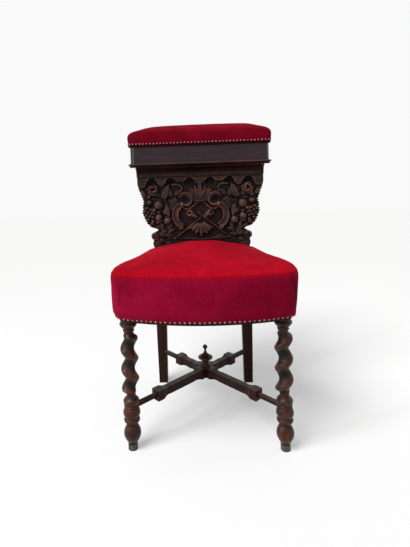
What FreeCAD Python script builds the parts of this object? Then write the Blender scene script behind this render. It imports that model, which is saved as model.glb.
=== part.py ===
import FreeCAD, Part
import Sketcher
import math
import os
import re

# A smoker's chair with an upholstered seat, barley-twist front legs and a carved back.
# The padded crest of the back is the hinged lid of a shallow tobacco box.
# Lengths are millimetres. X runs to the sitter's left, seen from the front to the right.
# Y runs from front to back and Z up from the floor. Inside this file y is measured from the
# axes of the front legs, and each finished piece is moved forward by middle_behind_front_legs.

SIZES = {
    # Plan of the seat frame
    "middle_behind_front_legs": 157.6,
    "seat_frame_width": 443,
    "front_leg_inset": 24,
    "seat_corner_reach": 15.4,
    "seat_front_bow": 40.6,
    "seat_corner_rounding": 20,
    "rear_leg_spread": 317,
    "rear_post_setback": 307,
    # Rails and their joints
    "rail_bottom": 347,
    "rail_height": 65,
    "rail_thickness": 25,
    "leg_block_side": 48,
    "leg_block_overlength": 20,
    "tenon_thickness": 8,
    "tenon_length": 18,
    "tenon_height": 45,
    "joint_clearance": 0.1,
    "glue_block_length": 50,
    "glue_block_height": 40,
    # Turning of the front legs, from the floor up
    "foot_diameter": 25,
    "foot_height": 21,
    "bulb_diameter": 45,
    "bulb_height": 49,
    "bulb_neck_diameter": 27.5,
    "bulb_neck_height": 3,
    "lower_ring_diameter": 42,
    "lower_ring_edge": 34,
    "lower_ring_height": 15,
    "barrel_diameter": 45,
    "barrel_edge": 38,
    "barrel_height": 25,
    "groove_count": 2,
    "groove_depth": 3,
    "groove_height": 6,
    "shoulder_diameter": 41.5,
    "shoulder_height": 16.7,
    "turned_edge": 1,
    "twist_bottom": 150,
    "twist_top": 312,
    "twist_pitch": 53,
    "twist_core_diameter": 24,
    "strand_diameter": 35.8,
    "strand_offset": 5.3,
    "twist_run_out": 12,
    "twist_sections_per_turn": 7,
    "turned_sides": 20,
    "carved_sides": 12,
    "left_twist_height": 271,
    "right_twist_height": 268.8,
    "capital_neck_diameter": 26,
    "capital_neck_height": 8,
    "capital_flare_height": 11,
    "capital_ring_diameter": 46,
    "capital_ring_height": 9,
    # Rear legs, which run up as posts behind the carved panel
    "rear_foot_spread": 287.2,
    "rear_foot_side": 28,
    "rear_leg_width": 37,
    "rear_leg_depth": 30,
    "rear_leg_rake": 29.7,
    "post_spread": 268,
    "post_width": 30,
    "post_step_bottom": 440,
    "post_step_top": 515,
    "post_tenon_length": 18,
    # Crossed stretcher and its finial
    "stretcher_height": 113,
    "stretcher_bar_width": 18,
    "stretcher_bar_height": 22,
    "stretcher_block_side": 28,
    "stretcher_middle_length": 60,
    "stretcher_swell_length": 28,
    "stretcher_block_length": 22,
    "stretcher_block_distance": 80,
    "stretcher_neck_diameter": 15,
    "finial_ring_diameter": 27,
    "finial_ring_height": 8,
    "finial_waist_diameter": 18,
    "finial_waist_height": 2,
    "finial_disc_diameter": 44,
    "finial_disc_lower_height": 15,
    "finial_disc_upper_height": 14,
    "finial_spindle_diameter": 5,
    "finial_spindle_height": 12,
    "finial_ball_diameter": 15,
    "finial_dowel_diameter": 9,
    "finial_dowel_length": 11,
    # Upholstery of the seat
    "webbing_width": 55,
    "webbing_thickness": 2.5,
    "webbing_step": 85,
    "webbing_front_margin": 12,
    "webbing_first_row": 45,
    "hessian_thickness": 1,
    "hessian_margin": 6,
    "cover_thickness": 5,
    "cover_skirt": 60,
    "cover_bulge": 15,
    "cover_bulge_drop": 36,
    "cover_shoulder_rise": 58,
    "cover_shoulder_drop": 20,
    "cover_shoulder_inset": 2,
    "cover_crown_rise": 35,
    "cover_front_inset": 200,
    "cover_side_inset": 200,
    "cover_rear_inset": 75,
    "cover_rear_rounding": 4,
    "cover_gap": 0.3,
    "stuffing_margin": 24,
    "stuffing_height": 42,
    # Carved back panel
    "panel_front": 285,
    "panel_relief": 6,
    "panel_gap_over_webbing": 0.3,
    "panel_top_width": 401,
    "panel_valance_height": 34,
    "panel_arch_width": 26,
    "panel_arch_height": 25,
    "panel_arch_rise": 3,
    "panel_arch_back": 8,
    "scroll_wire": 9,
    "scroll_eye_diameter": 12,
    "crest_scroll_radius": 22,
    "cartouche_radius": 44.5,
    "cartouche_depth": 2,
    "palmette_leaf_length": 34,
    "palmette_leaf_tip": 9,
    "palmette_leaf_root": 3.5,
    "pipe_bowl_height": 24,
    "pipe_bowl_diameter": 19,
    "pipe_bowl_foot": 9,
    "pipe_bowl_bore": 11,
    "pipe_bowl_depth": 12,
    "pipe_bowl_tilt": 25,
    "pipe_stem_diameter": 5,
    "pipe_stem_run": 107.5,
    "pipe_stem_drop": 70,
    "shell_lobe_length": 33,
    "shell_lobe_tip": 11,
    "shell_lobe_root": 4,
    "fruit_diameter": 27,
    "small_fruit_diameter": 23,
    "leaf_length": 40,
    "leaf_width": 19,
    "upper_volute_diameter": 30,
    "lower_volute_diameter": 25,
    # Cornice under the box
    "cornice_bottom": 704,
    "cornice_height": 31,
    "cornice_overhang": 1,
    "cornice_fillet": 4,
    "cornice_cove": 19,
    "cornice_front": 262,
    # Box
    "box_width": 434,
    "box_front": 258,
    "box_depth": 127,
    "box_height": 54,
    "box_wall": 10,
    "box_corner_rounding": 16,
    "box_rear_rounding": 3,
    "box_floor_thickness": 9,
    "box_floor_margin": 3,
    "box_floor_edge": 3,
    # Hinged lid and its pad
    "lid_gap": 0.5,
    "lid_board_thickness": 18,
    "lid_board_overhang": 3,
    "lid_cover_thickness": 3,
    "lid_cover_lift": 10,
    "lid_pad_height": 69.5,
    "lid_pad_shoulder_height": 35.5,
    "lid_pad_crown": 8,
    "lid_pad_bulge": 2,
    "lid_pad_corner": 26,
    "lid_stuffing_margin": 20,
    "lid_stuffing_height": 22,
    # Brass butt hinges of the lid
    "hinge_inset": 67,
    "hinge_length": 50,
    "hinge_leaf_width": 13,
    "hinge_leaf_thickness": 1.2,
    "hinge_barrel_diameter": 6,
    "hinge_pin_diameter": 3,
    "hinge_pin_clearance": 0.05,
    "hinge_knuckle_gap": 0.3,
    "hinge_back_gap": 0.2,
}

# The part of the cushion's bulge that the skirt has where it leaves the frame
BULGE_SHARE = 0.7
# Shares of the cushion's crown: how far each level steps in, how high it lies, how wide its
# rear edge still is, and how far forward that edge has moved
CROWN_SHARES = (
    (0.02, 0.3, 0.84, 0),
    (0.08, 0.52, 0.58, 0),
    (0.22, 0.7, 0.42, 0),
    (0.48, 0.88, 0.27, 0.1),
    (0.85, 1, 0.16, 1),
)
# Shares of the lid pad's rounded shoulder and crown: step in, and height
PAD_SHOULDER_SHARES = ((0.06, 0.27), (0.22, 0.54), (0.5, 0.79), (1, 1))
PAD_CROWN_SHARES = ((0.45, 0.5), (0.85, 1))
# The carved panel's right edge from the top down, as shares of half its top width and of its
# height; where four numbers stand the first two are the point that an arc passes over
PANEL_EDGE_SHARES = (
    (1, 1),
    (1, 0.872),
    (0.975, 0.8, 0.905, 0.735),
    (0.955, 0.62, 0.87, 0.46),
    (0.83, 0.43),
    (0.71, 0.405, 0.67, 0.38),
    (0.67, 0.22),
    (0.73, 0.15),
    (0.73, 0),
)
# Places of the six niches across the panel, as shares of half its top width
ARCH_PLACE_SHARES = (0.168, 0.44, 0.76)
# Hanging tabs of the valance: place as a share of half the top width, width as a share of the
# top width and drop as a share of the valance height
TAB_SHARES = ((0, 0.09, 0.95), (0.304, 0.06, 0.6), (0.6, 0.075, 0.8), (0.93, 0.07, 0.7))
# Middles of the carved motifs, as shares of half the panel's top width and of its height
MOTIF_PLACE_SHARES = {
    "crest_scroll": (0.24, 0.733),
    "cartouche": (0.213, 0.577),
    "palmette": (0, 0.736),
    "pipe": (0.142, 0.57),
    "shell": (0, 0.462),
    "fruit": (0.714, 0.858),
    "small_fruit": (0.648, 0.691),
    "leaf": (0.499, 0.872),
    "upper_volute": (0.721, 0.344),
    "lower_volute": (0.694, 0.244),
}
# How much of the valance's height its straight band takes
VALANCE_BAND_SHARE = 0.4
# How far below its middle the cartouche's field ends, as a share of its radius
FIELD_LOW_SHARE = 0.7
# The boss on a volute, as a share of the volute's diameter
VOLUTE_BOSS_SHARE = 0.7
# The finial's disc half way up each of its two slopes, and its ball at the flanks and the top
DISC_LOW_SHARE = 0.86
DISC_HIGH_SHARE = 0.8
BALL_FLANK_SHARE = 0.9
BALL_TOP_SHARE = 0.3
# The middle of a quarter circle lies at this share of its radius along both axes
QUARTER_MIDDLE_SHARE = math.sqrt(0.5)
# Straight segments of a soft form's front, its corners and its straight edges, around the plan
CUSHION_SEGMENTS = (12, 5, 1, 3, 1, 3, 1, 5)
# A boss in a few rings: width as a share of its diameter, rise as a share of its height
BUTTON_SHARES = ((1, 0), (0.88, 0.5), (0.5, 0.9), (0.16, 1))
# A pipe's bowl from its foot to its rim: height as a share of the bowl's, width as one of its rim
PIPE_BOWL_SHARES = ((0, 0.35), (0.2, 0.72), (0.6, 1), (1, 0.92))
# Directions that a scroll's bulge faces, and how far round the scrolls run, in degrees
FACING_RIGHT = 0
FACING_LEFT = 180
CREST_SCROLL_SWEEP = 240
LONG_SCROLL_SWEEP = 120
# The rear leg's rake grows with this power of the way down from the rail
RAKE_POWER = 1.6
PALMETTE_LEAF_ANGLES = (-64, -34, 0, 34, 64)
SHELL_LOBE_ANGLES = (-58, -29, 0, 29, 58)

doc = FreeCAD.newDocument("smokers_chair")
sheet = doc.addObject("Spreadsheet::Sheet", "sizes")
for row, (alias, number) in enumerate(SIZES.items(), start=1):
    sheet.set(f"A{row}", alias)
    sheet.set(f"B{row}", str(number))
    sheet.setAlias(f"B{row}", alias)
doc.recompute()

# How far four corners may stray from one plane and still share a face
FLAT_LIMIT = 0.000001

ALIASES = re.compile(r"\b(" + "|".join(SIZES) + r")\b")
UPRIGHT = FreeCAD.Rotation(FreeCAD.Vector(1, 0, 0), 90)
FLAT = FreeCAD.Rotation()
ALONG_X = FreeCAD.Rotation(FreeCAD.Vector(0, 1, 0), 90)
pieces = []


def formula(text):
    """The text with each size written as other objects read it from the sheet."""
    return ALIASES.sub(r"sizes.\1", text)


def size(text):
    """The present value of a formula of sizes."""
    return float(sheet.evalExpression(text))


def bind(item, **formulas):
    """Tie properties to formulas; two underscores stand for the dot of a nested property."""
    for name, text in formulas.items():
        item.setExpression(name.replace("__", "."), formula(text))
    return item


def place(item, x="0", y="0", z="0", turn=FLAT):
    """Tie an object's position to formulas, after turning it."""
    item.Placement = FreeCAD.Placement(FreeCAD.Vector(), turn)
    return bind(item, Placement__Base__x=x, Placement__Base__y=y, Placement__Base__z=z)


def piece(item, label, x="0", y="0", z="0", turn=FLAT):
    """Name a finished piece and put it in its place in the chair's own frame."""
    item.Label = label
    place(item, x, f"{y} - middle_behind_front_legs", z, turn)
    pieces.append(item)
    return item


def box(name, x, y, z, length, width, height):
    """A block from its low corner."""
    item = doc.addObject("Part::Box", name)
    bind(item, Length=length, Width=width, Height=height)
    return place(item, x, y, z)


def middle_box(name, x, y, z, length, width, height):
    """A block centred on x and y, standing on z."""
    return box(name, f"{x} - ({length}) / 2", f"{y} - ({width}) / 2", z, length, width, height)


def cylinder(name, x, y, z, diameter, height, turn=FLAT):
    item = doc.addObject("Part::Cylinder", name)
    bind(item, Radius=f"({diameter}) / 2", Height=height)
    return place(item, x, y, z, turn)


def fuse(name, parts):
    item = doc.addObject("Part::MultiFuse", name)
    item.Shapes = parts
    item.Refine = False
    return item


def cut(name, base, tools):
    """The base less all the tools."""
    item = doc.addObject("Part::Cut", name)
    item.Base = base
    item.Tool = tools[0] if len(tools) == 1 else fuse(f"{name}_tools", tools)
    return item


def common(name, first, second):
    item = doc.addObject("Part::Common", name)
    item.Base = first
    item.Tool = second
    return item


def solid(name, shape):
    """A free form, made from the sheet's sizes."""
    item = doc.addObject("Part::Feature", name)
    item.Shape = shape
    return item


def mirrored(name, source):
    """The same piece for the chair's other side."""
    item = doc.addObject("Part::Mirroring", name)
    item.Source = source
    item.Normal = (1, 0, 0)
    return item


def outline(name, stops, body=None, plane="XZ_Plane"):
    """A closed sketch. A stop is (x, y) for a line there, or (over x, over y, x, y) for an arc."""
    if body:
        sketch = body.newObject("Sketcher::SketchObject", name)
        support = [face for face in body.Origin.OriginFeatures if face.Role == plane][0]
        sketch.AttachmentSupport = [(support, "")]
        sketch.MapMode = "FlatFace"
    else:
        sketch = doc.addObject("Sketcher::SketchObject", name)
    ends = [(stop[-2], stop[-1]) for stop in stops]
    points = [FreeCAD.Vector(size(x), size(y), 0) for x, y in ends]
    edges = []
    starts_first = []
    overs = []
    for index, stop in enumerate(stops):
        before = points[index - 1]
        if len(stop) == 2:
            edges.append(Part.LineSegment(before, points[index]))
            starts_first.append(True)
        else:
            over = FreeCAD.Vector(size(stop[0]), size(stop[1]), 0)
            arc = Part.Arc(before, over, points[index])
            edges.append(arc)
            overs.append((index, stop[0], stop[1], over))
            turned = (over - before).cross(points[index] - over).z
            starts_first.append(turned > 0)
    sketch.addGeometry(edges)
    rules = []
    for index, first in enumerate(starts_first):
        after = (index + 1) % len(edges)
        end = 2 if first else 1
        begin = 1 if starts_first[after] else 2
        rules.append(Sketcher.Constraint("Coincident", index, end, after, begin))
    sketch.addConstraint(rules)
    for index, (x, y) in enumerate(ends):
        corner = 2 if starts_first[index] else 1
        hold(sketch, index, corner, x, y, points[index])
    for index, x, y, over in overs:
        mark = sketch.addGeometry(Part.Point(over), True)
        sketch.addConstraint(Sketcher.Constraint("PointOnObject", mark, 1, index))
        hold(sketch, mark, 1, x, y, over)
    return sketch


def hold(sketch, index, corner, x, y, point):
    """Tie a sketch point's two coordinates to formulas."""
    for kind, text, value in (("DistanceX", x, point.x), ("DistanceY", y, point.y)):
        rule = sketch.addConstraint(Sketcher.Constraint(kind, -1, 1, index, corner, value))
        sketch.setExpression(f"Constraints[{rule}]", formula(text))


def extruded(name, sketch, length, both_ways=False):
    """A sketch drawn out along its normal."""
    item = doc.addObject("Part::Extrusion", name)
    item.Base = sketch
    item.DirMode = "Normal"
    item.Solid = True
    item.Symmetric = both_ways
    return bind(item, LengthFwd=length)


def loop_face(corners):
    return Part.Face(Part.makePolygon([*corners, corners[0]]))


def flat_faces(first, second, third, fourth):
    """One face over four corners, or two triangles where the corners don't lie in one plane."""
    normal = (second - first).cross(third - first)
    if abs(normal.dot(fourth - first)) < FLAT_LIMIT * normal.Length:
        return [loop_face([first, second, third, fourth])]
    return [loop_face([first, second, third]), loop_face([first, third, fourth])]


def skinned(rings):
    """A solid with flat faces between closed rings of equally many points."""
    faces = [loop_face(rings[0]), loop_face(rings[-1])]
    for low, high in zip(rings, rings[1:]):
        for index in range(len(low)):
            faces += flat_faces(low[index - 1], low[index], high[index], high[index - 1])
    shell = Part.makeShell(faces)
    shell.sewShape()
    return Part.makeSolid(shell)


def lofted(name, sections, sides, turn=FLAT):
    """A many-sided form through rings, each a (radius, x, y, z) section facing along the turned axis."""
    count = int(size(sides))
    rings = []
    for radius, x, y, z in sections:
        centre = FreeCAD.Vector(size(x), size(y), size(z))
        angles = [2 * math.pi * index / count for index in range(count)]
        spokes = [FreeCAD.Vector(math.cos(angle), math.sin(angle), 0) for angle in angles]
        rings.append([centre + turn.multVec(spoke * size(radius)) for spoke in spokes])
    return solid(name, skinned(rings))


def turned(name, stops, sides):
    """A form turned about its own upright axis, through (radius, height) stops."""
    return lofted(name, [(radius, "0", "0", height) for radius, height in stops], sides)


def belly(bottom, top, low, widest, high, bands):
    """Stops of a swelling between two heights, after the first, in a number of bands."""
    stops = []
    for index in range(1, bands + 1):
        share = index / bands
        swell = f"({widest} - ({low} + {high}) / 2) * {math.sin(math.pi * share):.6f}"
        radius = f"{low} + ({high} - {low}) * {share} + {swell}"
        stops.append((radius, f"{bottom} + ({top} - {bottom}) * {share}"))
    return stops


# Plan of the seat, with its bowed front and straight splayed sides

FRONT_LEG_X = "(seat_frame_width / 2 - front_leg_inset)"
RAIL_TOP = "(rail_bottom + rail_height)"


def rounded_corner(corner, back_way, on_way, rounding):
    """The two ends and the middle of an arc that rounds a corner between two directions."""
    half = back_way.getAngle(on_way) / 2
    reach = rounding / math.tan(half)
    bisector = (back_way + on_way).normalize()
    middle = corner + bisector * (rounding / math.sin(half) - rounding)
    return corner + back_way * reach, middle, corner + on_way * reach


def plan_wire(level, front_half, corner_y, bow, rear_half, rear_y, front_rounding, rear_rounding):
    """A closed plan outline, alike left and right, with a bowed or straight front."""
    front = FreeCAD.Vector(front_half, corner_y, level)
    rear = FreeCAD.Vector(rear_half, rear_y, level)
    slope = 2 * math.atan(bow / front_half)
    along_front = FreeCAD.Vector(-math.cos(slope), -math.sin(slope), 0)
    along_side = (rear - front).normalize()
    side_start = rounded_corner(front, along_front, along_side, front_rounding)
    rear_start = rounded_corner(rear, along_side * -1, FreeCAD.Vector(-1, 0, 0), rear_rounding)
    right = [*side_start, *rear_start]
    left = [FreeCAD.Vector(-p.x, p.y, p.z) for p in right]
    edges = []
    if bow:
        front_middle = FreeCAD.Vector(0, corner_y - bow, level)
        edges.append(Part.Arc(left[0], front_middle, right[0]))
    else:
        edges.append(Part.LineSegment(left[0], right[0]))
    edges.append(Part.Arc(right[0], right[1], right[2]))
    edges.append(Part.LineSegment(right[2], right[3]))
    edges.append(Part.Arc(right[3], right[4], right[5]))
    edges.append(Part.LineSegment(right[5], left[5]))
    edges.append(Part.Arc(left[5], left[4], left[3]))
    edges.append(Part.LineSegment(left[3], left[2]))
    edges.append(Part.Arc(left[2], left[1], left[0]))
    return Part.Wire([edge.toShape() for edge in edges])


def segmented(wire):
    """The corners of a plan outline in straight segments, which keeps soft forms light."""
    points = []
    for edge, count in zip(wire.OrderedEdges, CUSHION_SEGMENTS):
        points += edge.discretize(Number=count + 1)[:-1]
    return points


def side_slope():
    """How far the seat's side moves in for each millimetre back."""
    run_in = (size("seat_frame_width") - size("rear_leg_spread")) / 2
    return run_in / (size("rear_post_setback") + size("seat_corner_reach"))


def seat_wire(level, outset, rear_y):
    """The plan of the seat frame, grown by outset, down to a rear edge."""
    slope = side_slope()
    across = math.hypot(1, slope)
    front_half = size("seat_frame_width") / 2 + outset * across
    rear_half = front_half - slope * (rear_y + size("seat_corner_reach"))
    rounding = max(size("seat_corner_rounding") + outset, size("cover_rear_rounding") / 2)
    return plan_wire(
        level,
        front_half,
        -size("seat_corner_reach") - outset,
        size("seat_front_bow"),
        rear_half,
        rear_y,
        rounding,
        size("cover_rear_rounding"),
    )


def prism(wire, height):
    return Part.Face(wire).extrude(FreeCAD.Vector(0, 0, height))


def seat_prism(name, outset, bottom, height, rear_y):
    return solid(name, prism(seat_wire(bottom, outset, rear_y), height))


def frame_form(name, outset):
    """The full-height block of the seat frame, grown by outset."""
    rear = size("rear_post_setback + rear_leg_depth")
    return seat_prism(name, outset, size("rail_bottom"), size("rail_height"), rear)


def tenon(name, x, y, length, width, clearance="0"):
    """A tenon at a rail's end, or with a clearance the mortise for it."""
    return middle_box(
        name,
        x,
        y,
        f"rail_bottom + (rail_height - tenon_height) / 2 - ({clearance})",
        f"{length} + 2 * ({clearance})",
        f"{width} + 2 * ({clearance})",
        f"tenon_height + 2 * ({clearance})",
    )


# Places of the rail tenons: half outside and half inside the joint's face

BLOCK_INNER_X = f"({FRONT_LEG_X} - leg_block_side / 2)"
FRONT_TENON_Y = "(0 - leg_block_side / 4)"
SIDE_RAIL_FRONT = "(leg_block_side / 2)"
SIDE_INSET = "((seat_frame_width - rear_leg_spread) / 2 / (rear_post_setback + seat_corner_reach))"
RAIL_ACROSS = f"(rail_thickness * sqrt(1 + {SIDE_INSET} ^ 2))"


def side_middle(y):
    """The middle of the side rail's thickness at a distance behind the front legs."""
    return f"(seat_frame_width / 2 - {SIDE_INSET} * ({y} + seat_corner_reach) - {RAIL_ACROSS} / 2)"


def front_tenon(name, clearance="0"):
    return tenon(name, BLOCK_INNER_X, FRONT_TENON_Y, "2 * tenon_length", "tenon_thickness", clearance)


def side_front_tenon(name, clearance="0"):
    x = side_middle(SIDE_RAIL_FRONT)
    return tenon(name, x, SIDE_RAIL_FRONT, "tenon_thickness", "2 * tenon_length", clearance)


def side_rear_tenon(name, clearance="0"):
    x = side_middle("rear_post_setback")
    return tenon(name, x, "rear_post_setback", "tenon_thickness", "2 * tenon_length", clearance)


def back_tenon(name, clearance="0"):
    x = "(rear_leg_spread / 2 - rear_leg_width)"
    y = "(rear_post_setback + rail_thickness / 2)"
    return tenon(name, x, y, "2 * tenon_length", "tenon_thickness", clearance)


# Front legs


def barley_twist(hand, start_height):
    """Sections of one strand wound about the leg's axis, run out at both ends."""
    turns = size("(twist_top - twist_bottom) / twist_pitch")
    count = max(2, round(turns * size("twist_sections_per_turn")))
    core = "(twist_core_diameter / 2)"
    sections = []
    for index in range(count + 1):
        level = f"(twist_bottom + {index / count} * (twist_top - twist_bottom))"
        below = f"({level} - twist_bottom) / twist_run_out"
        above = f"(twist_top - {level}) / twist_run_out"
        fade = f"min(1; {below}; {above})"
        angle = f"(180 deg {hand} 360 deg * ({level} - {start_height}) / twist_pitch)"
        radius = f"{core} + {fade} * (strand_diameter / 2 - {core})"
        x = f"strand_offset * {fade} * cos({angle})"
        y = f"strand_offset * {fade} * sin({angle})"
        sections.append((radius, x, y, level))
    return sections


def lower_turning():
    """Stops of the foot, bulb, ring, barrel, grooves and the shoulder under the twist."""
    bulb_top = "(foot_height + bulb_height)"
    ring_bottom = f"({bulb_top} + bulb_neck_height)"
    ring_top = f"({ring_bottom} + lower_ring_height)"
    barrel_top = f"({ring_top} + barrel_height)"
    shoulder_bottom = f"({barrel_top} + groove_count * groove_height)"
    shoulder_top = f"({shoulder_bottom} + shoulder_height)"
    foot = "foot_diameter / 2"
    neck_half = "bulb_neck_diameter / 2"
    ring_half = "lower_ring_edge / 2"
    barrel_half = "barrel_edge / 2"
    core = "twist_core_diameter / 2"
    stops = [(foot, "0"), (foot, "foot_height")]
    stops += belly("foot_height", bulb_top, foot, "bulb_diameter / 2", neck_half, 4)
    ring_start = f"({ring_bottom} + turned_edge)"
    stops += [(neck_half, ring_bottom), (ring_half, ring_start)]
    stops += belly(ring_start, ring_top, ring_half, "lower_ring_diameter / 2", ring_half, 3)
    stops += belly(ring_top, barrel_top, ring_half, "barrel_diameter / 2", barrel_half, 3)
    for index in range(SIZES["groove_count"]):
        base = f"{barrel_top} + {index} * groove_height"
        stops.append((f"{barrel_half} - groove_depth", f"{base} + groove_height / 2"))
        stops.append((barrel_half, f"{base} + groove_height"))
    stops += belly(shoulder_bottom, shoulder_top, barrel_half, "shoulder_diameter / 2", core, 3)
    return stops


def capital():
    """Stops of the neck, flare and ring between the twist and the square block."""
    flare_bottom = "(twist_top + capital_neck_height)"
    ring_bottom = f"({flare_bottom} + capital_flare_height)"
    ring_top = f"({ring_bottom} + capital_ring_height)"
    neck_half = "(capital_neck_diameter / 2)"
    ring_half = "(capital_ring_diameter / 2)"
    ring_edge = "(capital_ring_diameter / 2 - capital_ring_height / 4)"
    collar = "(capital_neck_diameter * 3 / 4)"
    stops = [(neck_half, flare_bottom)]
    flare = f"({neck_half} + {ring_edge}) / 2 - turned_edge"
    stops.append((flare, f"{flare_bottom} + capital_flare_height * 2 / 3"))
    stops.append((ring_edge, ring_bottom))
    stops.append((ring_half, f"{ring_bottom} + capital_ring_height / 3"))
    stops.append((ring_half, f"{ring_bottom} + capital_ring_height * 2 / 3"))
    stops.append((ring_edge, ring_top))
    stops.append((collar, f"{ring_top} + turned_edge"))
    stops.append((collar, "rail_bottom"))
    return stops


def front_leg(side, hand, start_height, sign):
    """Turned leg with its square block, mortised for the rails and bored for the stretcher."""
    name = f"front_leg_{side}"
    half = "leg_block_side / 2"
    stock = box(
        f"{name}_stock",
        f"{sign} * {FRONT_LEG_X} - {half}",
        f"0 - {half} - leg_block_overlength",
        "rail_bottom",
        "leg_block_side",
        "leg_block_side + leg_block_overlength",
        "rail_height",
    )
    below = [(radius, "0", "0", height) for radius, height in lower_turning()]
    above = [(radius, "0", "0", height) for radius, height in capital()]
    sections = below + barley_twist(hand, start_height)[1:] + above
    stem = lofted(f"{name}_stem", sections, "turned_sides")
    place(stem, f"{sign} * {FRONT_LEG_X}")
    block = common(f"{name}_block", stock, frame_form(f"{name}_form", 0))
    tools = [front_tenon(f"{name}_front_mortise", "joint_clearance")]
    tools.append(side_front_tenon(f"{name}_side_mortise", "joint_clearance"))
    if side == "left":
        tools = [mirrored(f"{tool.Name}_left", tool) for tool in tools]
    tools.append(stretcher_socket(name, side, "front"))
    piece(cut(f"{name}_cut", fuse(f"{name}_blank", [stem, block]), tools), name)


# Stretcher: two bars from front leg to opposite rear leg, half-lapped where they cross

DOWN_SHARE = "((rail_bottom - stretcher_height) / rail_bottom)"
POST_MIDDLE = "((rear_leg_spread - rear_leg_width) / 2)"
REAR_X = f"({POST_MIDDLE} + {DOWN_SHARE} * (rear_foot_spread / 2 - {POST_MIDDLE}))"
REAR_Y = f"(rear_post_setback + rear_leg_depth / 2 + {DOWN_SHARE} ^ {RAKE_POWER} * rear_leg_rake)"
BAR_ANGLE = f"atan2({REAR_Y}; {FRONT_LEG_X} + {REAR_X})"
CROSS_Y = f"({REAR_Y} * {FRONT_LEG_X} / ({FRONT_LEG_X} + {REAR_X}))"
FRONT_REACH = f"({FRONT_LEG_X} / cos({BAR_ANGLE}))"
REAR_REACH = f"({REAR_X} / cos({BAR_ANGLE}))"


def heading(side, end):
    """Direction from the crossing along a bar, named after its front leg."""
    way = {"left": f"(180 deg + {BAR_ANGLE})", "right": f"(0 deg - {BAR_ANGLE})"}[side]
    return way if end == "front" else f"({way} + 180 deg)"


def stretcher_socket(name, side, end):
    """The round hole in a leg for a stretcher's end."""
    way = heading(side, end)
    reach = FRONT_REACH if end == "front" else REAR_REACH
    start = f"({reach} - stretcher_block_distance / 2)"
    return cylinder(
        f"{name}_socket",
        f"{start} * cos({way})",
        f"{CROSS_Y} + {start} * sin({way})",
        "stretcher_height",
        "stretcher_neck_diameter + 2 * joint_clearance",
        "stretcher_block_distance / 2 + joint_clearance",
        FreeCAD.Rotation(FreeCAD.Vector(0, 0, 1), size(way)).multiply(ALONG_X),
    )


def arm_stops(reach, bar, sign):
    """One arm of a bar's upper edge: it swells at the middle and again near the leg."""
    block = "stretcher_block_side / 2"
    middle = "stretcher_middle_length / 2"
    end = f"({reach} - stretcher_block_distance)"
    swell_out = f"({end} - stretcher_block_length)"
    swell_in = f"({swell_out} - stretcher_swell_length)"
    hollow = f"({bar} + ({block} - {bar}) / 5)"
    return [
        (f"{sign} * {middle}", block),
        (
            f"{sign} * ({middle} + stretcher_swell_length / 3)",
            hollow,
            f"{sign} * ({middle} + stretcher_swell_length)",
            bar,
        ),
        (f"{sign} * {swell_in}", bar),
        (f"{sign} * ({swell_in} + stretcher_swell_length * 2 / 3)", hollow, f"{sign} * {swell_out}", block),
        (f"{sign} * {end}", block),
    ]


def reversed_stops(stops):
    """The same run of stops taken the other way, each arc over its own middle point."""
    result = [stops[-1][-2:]]
    for index in range(len(stops) - 1, 0, -1):
        result.append((*stops[index][:-2], *stops[index - 1][-2:]))
    return result


def opposite(stops, axis):
    """The stops mirrored across the sketch's own x axis (1) or y axis (0)."""
    result = []
    for stop in stops:
        flipped = [f"0 - ({text})" if index % 2 == axis else text for index, text in enumerate(stop)]
        result.append(tuple(flipped))
    return result


def bar_outline(name, bar):
    """The closed outline of a bar, alike above and below its axis, front arm to the right."""
    top = reversed_stops(arm_stops(FRONT_REACH, bar, "1")) + arm_stops(REAR_REACH, bar, "-1")
    return outline(name, top + opposite(reversed_stops(top), 1))


def neck(name, reach, sign):
    """The round end of a bar, which enters a leg."""
    turn = FreeCAD.Rotation(FreeCAD.Vector(0, 1, 0), 90 * sign)
    x = f"{sign} * ({reach} - stretcher_block_distance)"
    return cylinder(name, x, "0", "0", "stretcher_neck_diameter", "stretcher_block_distance", turn)


def stretcher_bar(side, keeps_top):
    """A bar that runs from one front leg to the opposite rear leg."""
    name = f"stretcher_bar_{side}"
    depth = "stretcher_block_side"
    plan_sketch = bar_outline(f"{name}_plan", "stretcher_bar_width / 2")
    plan_form = extruded(f"{name}_plan_form", plan_sketch, depth, True)
    height_sketch = bar_outline(f"{name}_height", "stretcher_bar_height / 2")
    height_form = place(extruded(f"{name}_height_form", height_sketch, depth, True), turn=UPRIGHT)
    squared = common(f"{name}_squared", plan_form, height_form)
    ends = [neck(f"{name}_front", FRONT_REACH, 1), neck(f"{name}_rear", REAR_REACH, -1)]
    whole = fuse(f"{name}_whole", [squared, *ends])
    half_width = f"{depth} / 2"
    reach = "stretcher_middle_length"
    corners = [(reach, half_width), (f"0 - {reach}", half_width)]
    lap_sketch = outline(f"{name}_lap_plan", corners + opposite(reversed_stops(corners), 1))
    lap = extruded(f"{name}_lap", lap_sketch, depth)
    angle = size(BAR_ANGLE) * (-2 if side == "left" else 2)
    place(lap, z=f"0 - {depth}" if keeps_top else "0", turn=FreeCAD.Rotation(FreeCAD.Vector(0, 0, 1), angle))
    tools = [lap]
    if keeps_top:
        width = "finial_dowel_diameter + 2 * joint_clearance"
        floor = "stretcher_block_side / 2 - finial_dowel_length - joint_clearance"
        tools.append(cylinder(f"{name}_dowel_hole", "0", "0", floor, width, "2 * finial_dowel_length"))
    turn = FreeCAD.Rotation(FreeCAD.Vector(0, 0, 1), size(heading(side, "front")))
    piece(cut(f"{name}_lapped", whole, tools), name, "0", CROSS_Y, "stretcher_height", turn)


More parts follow.
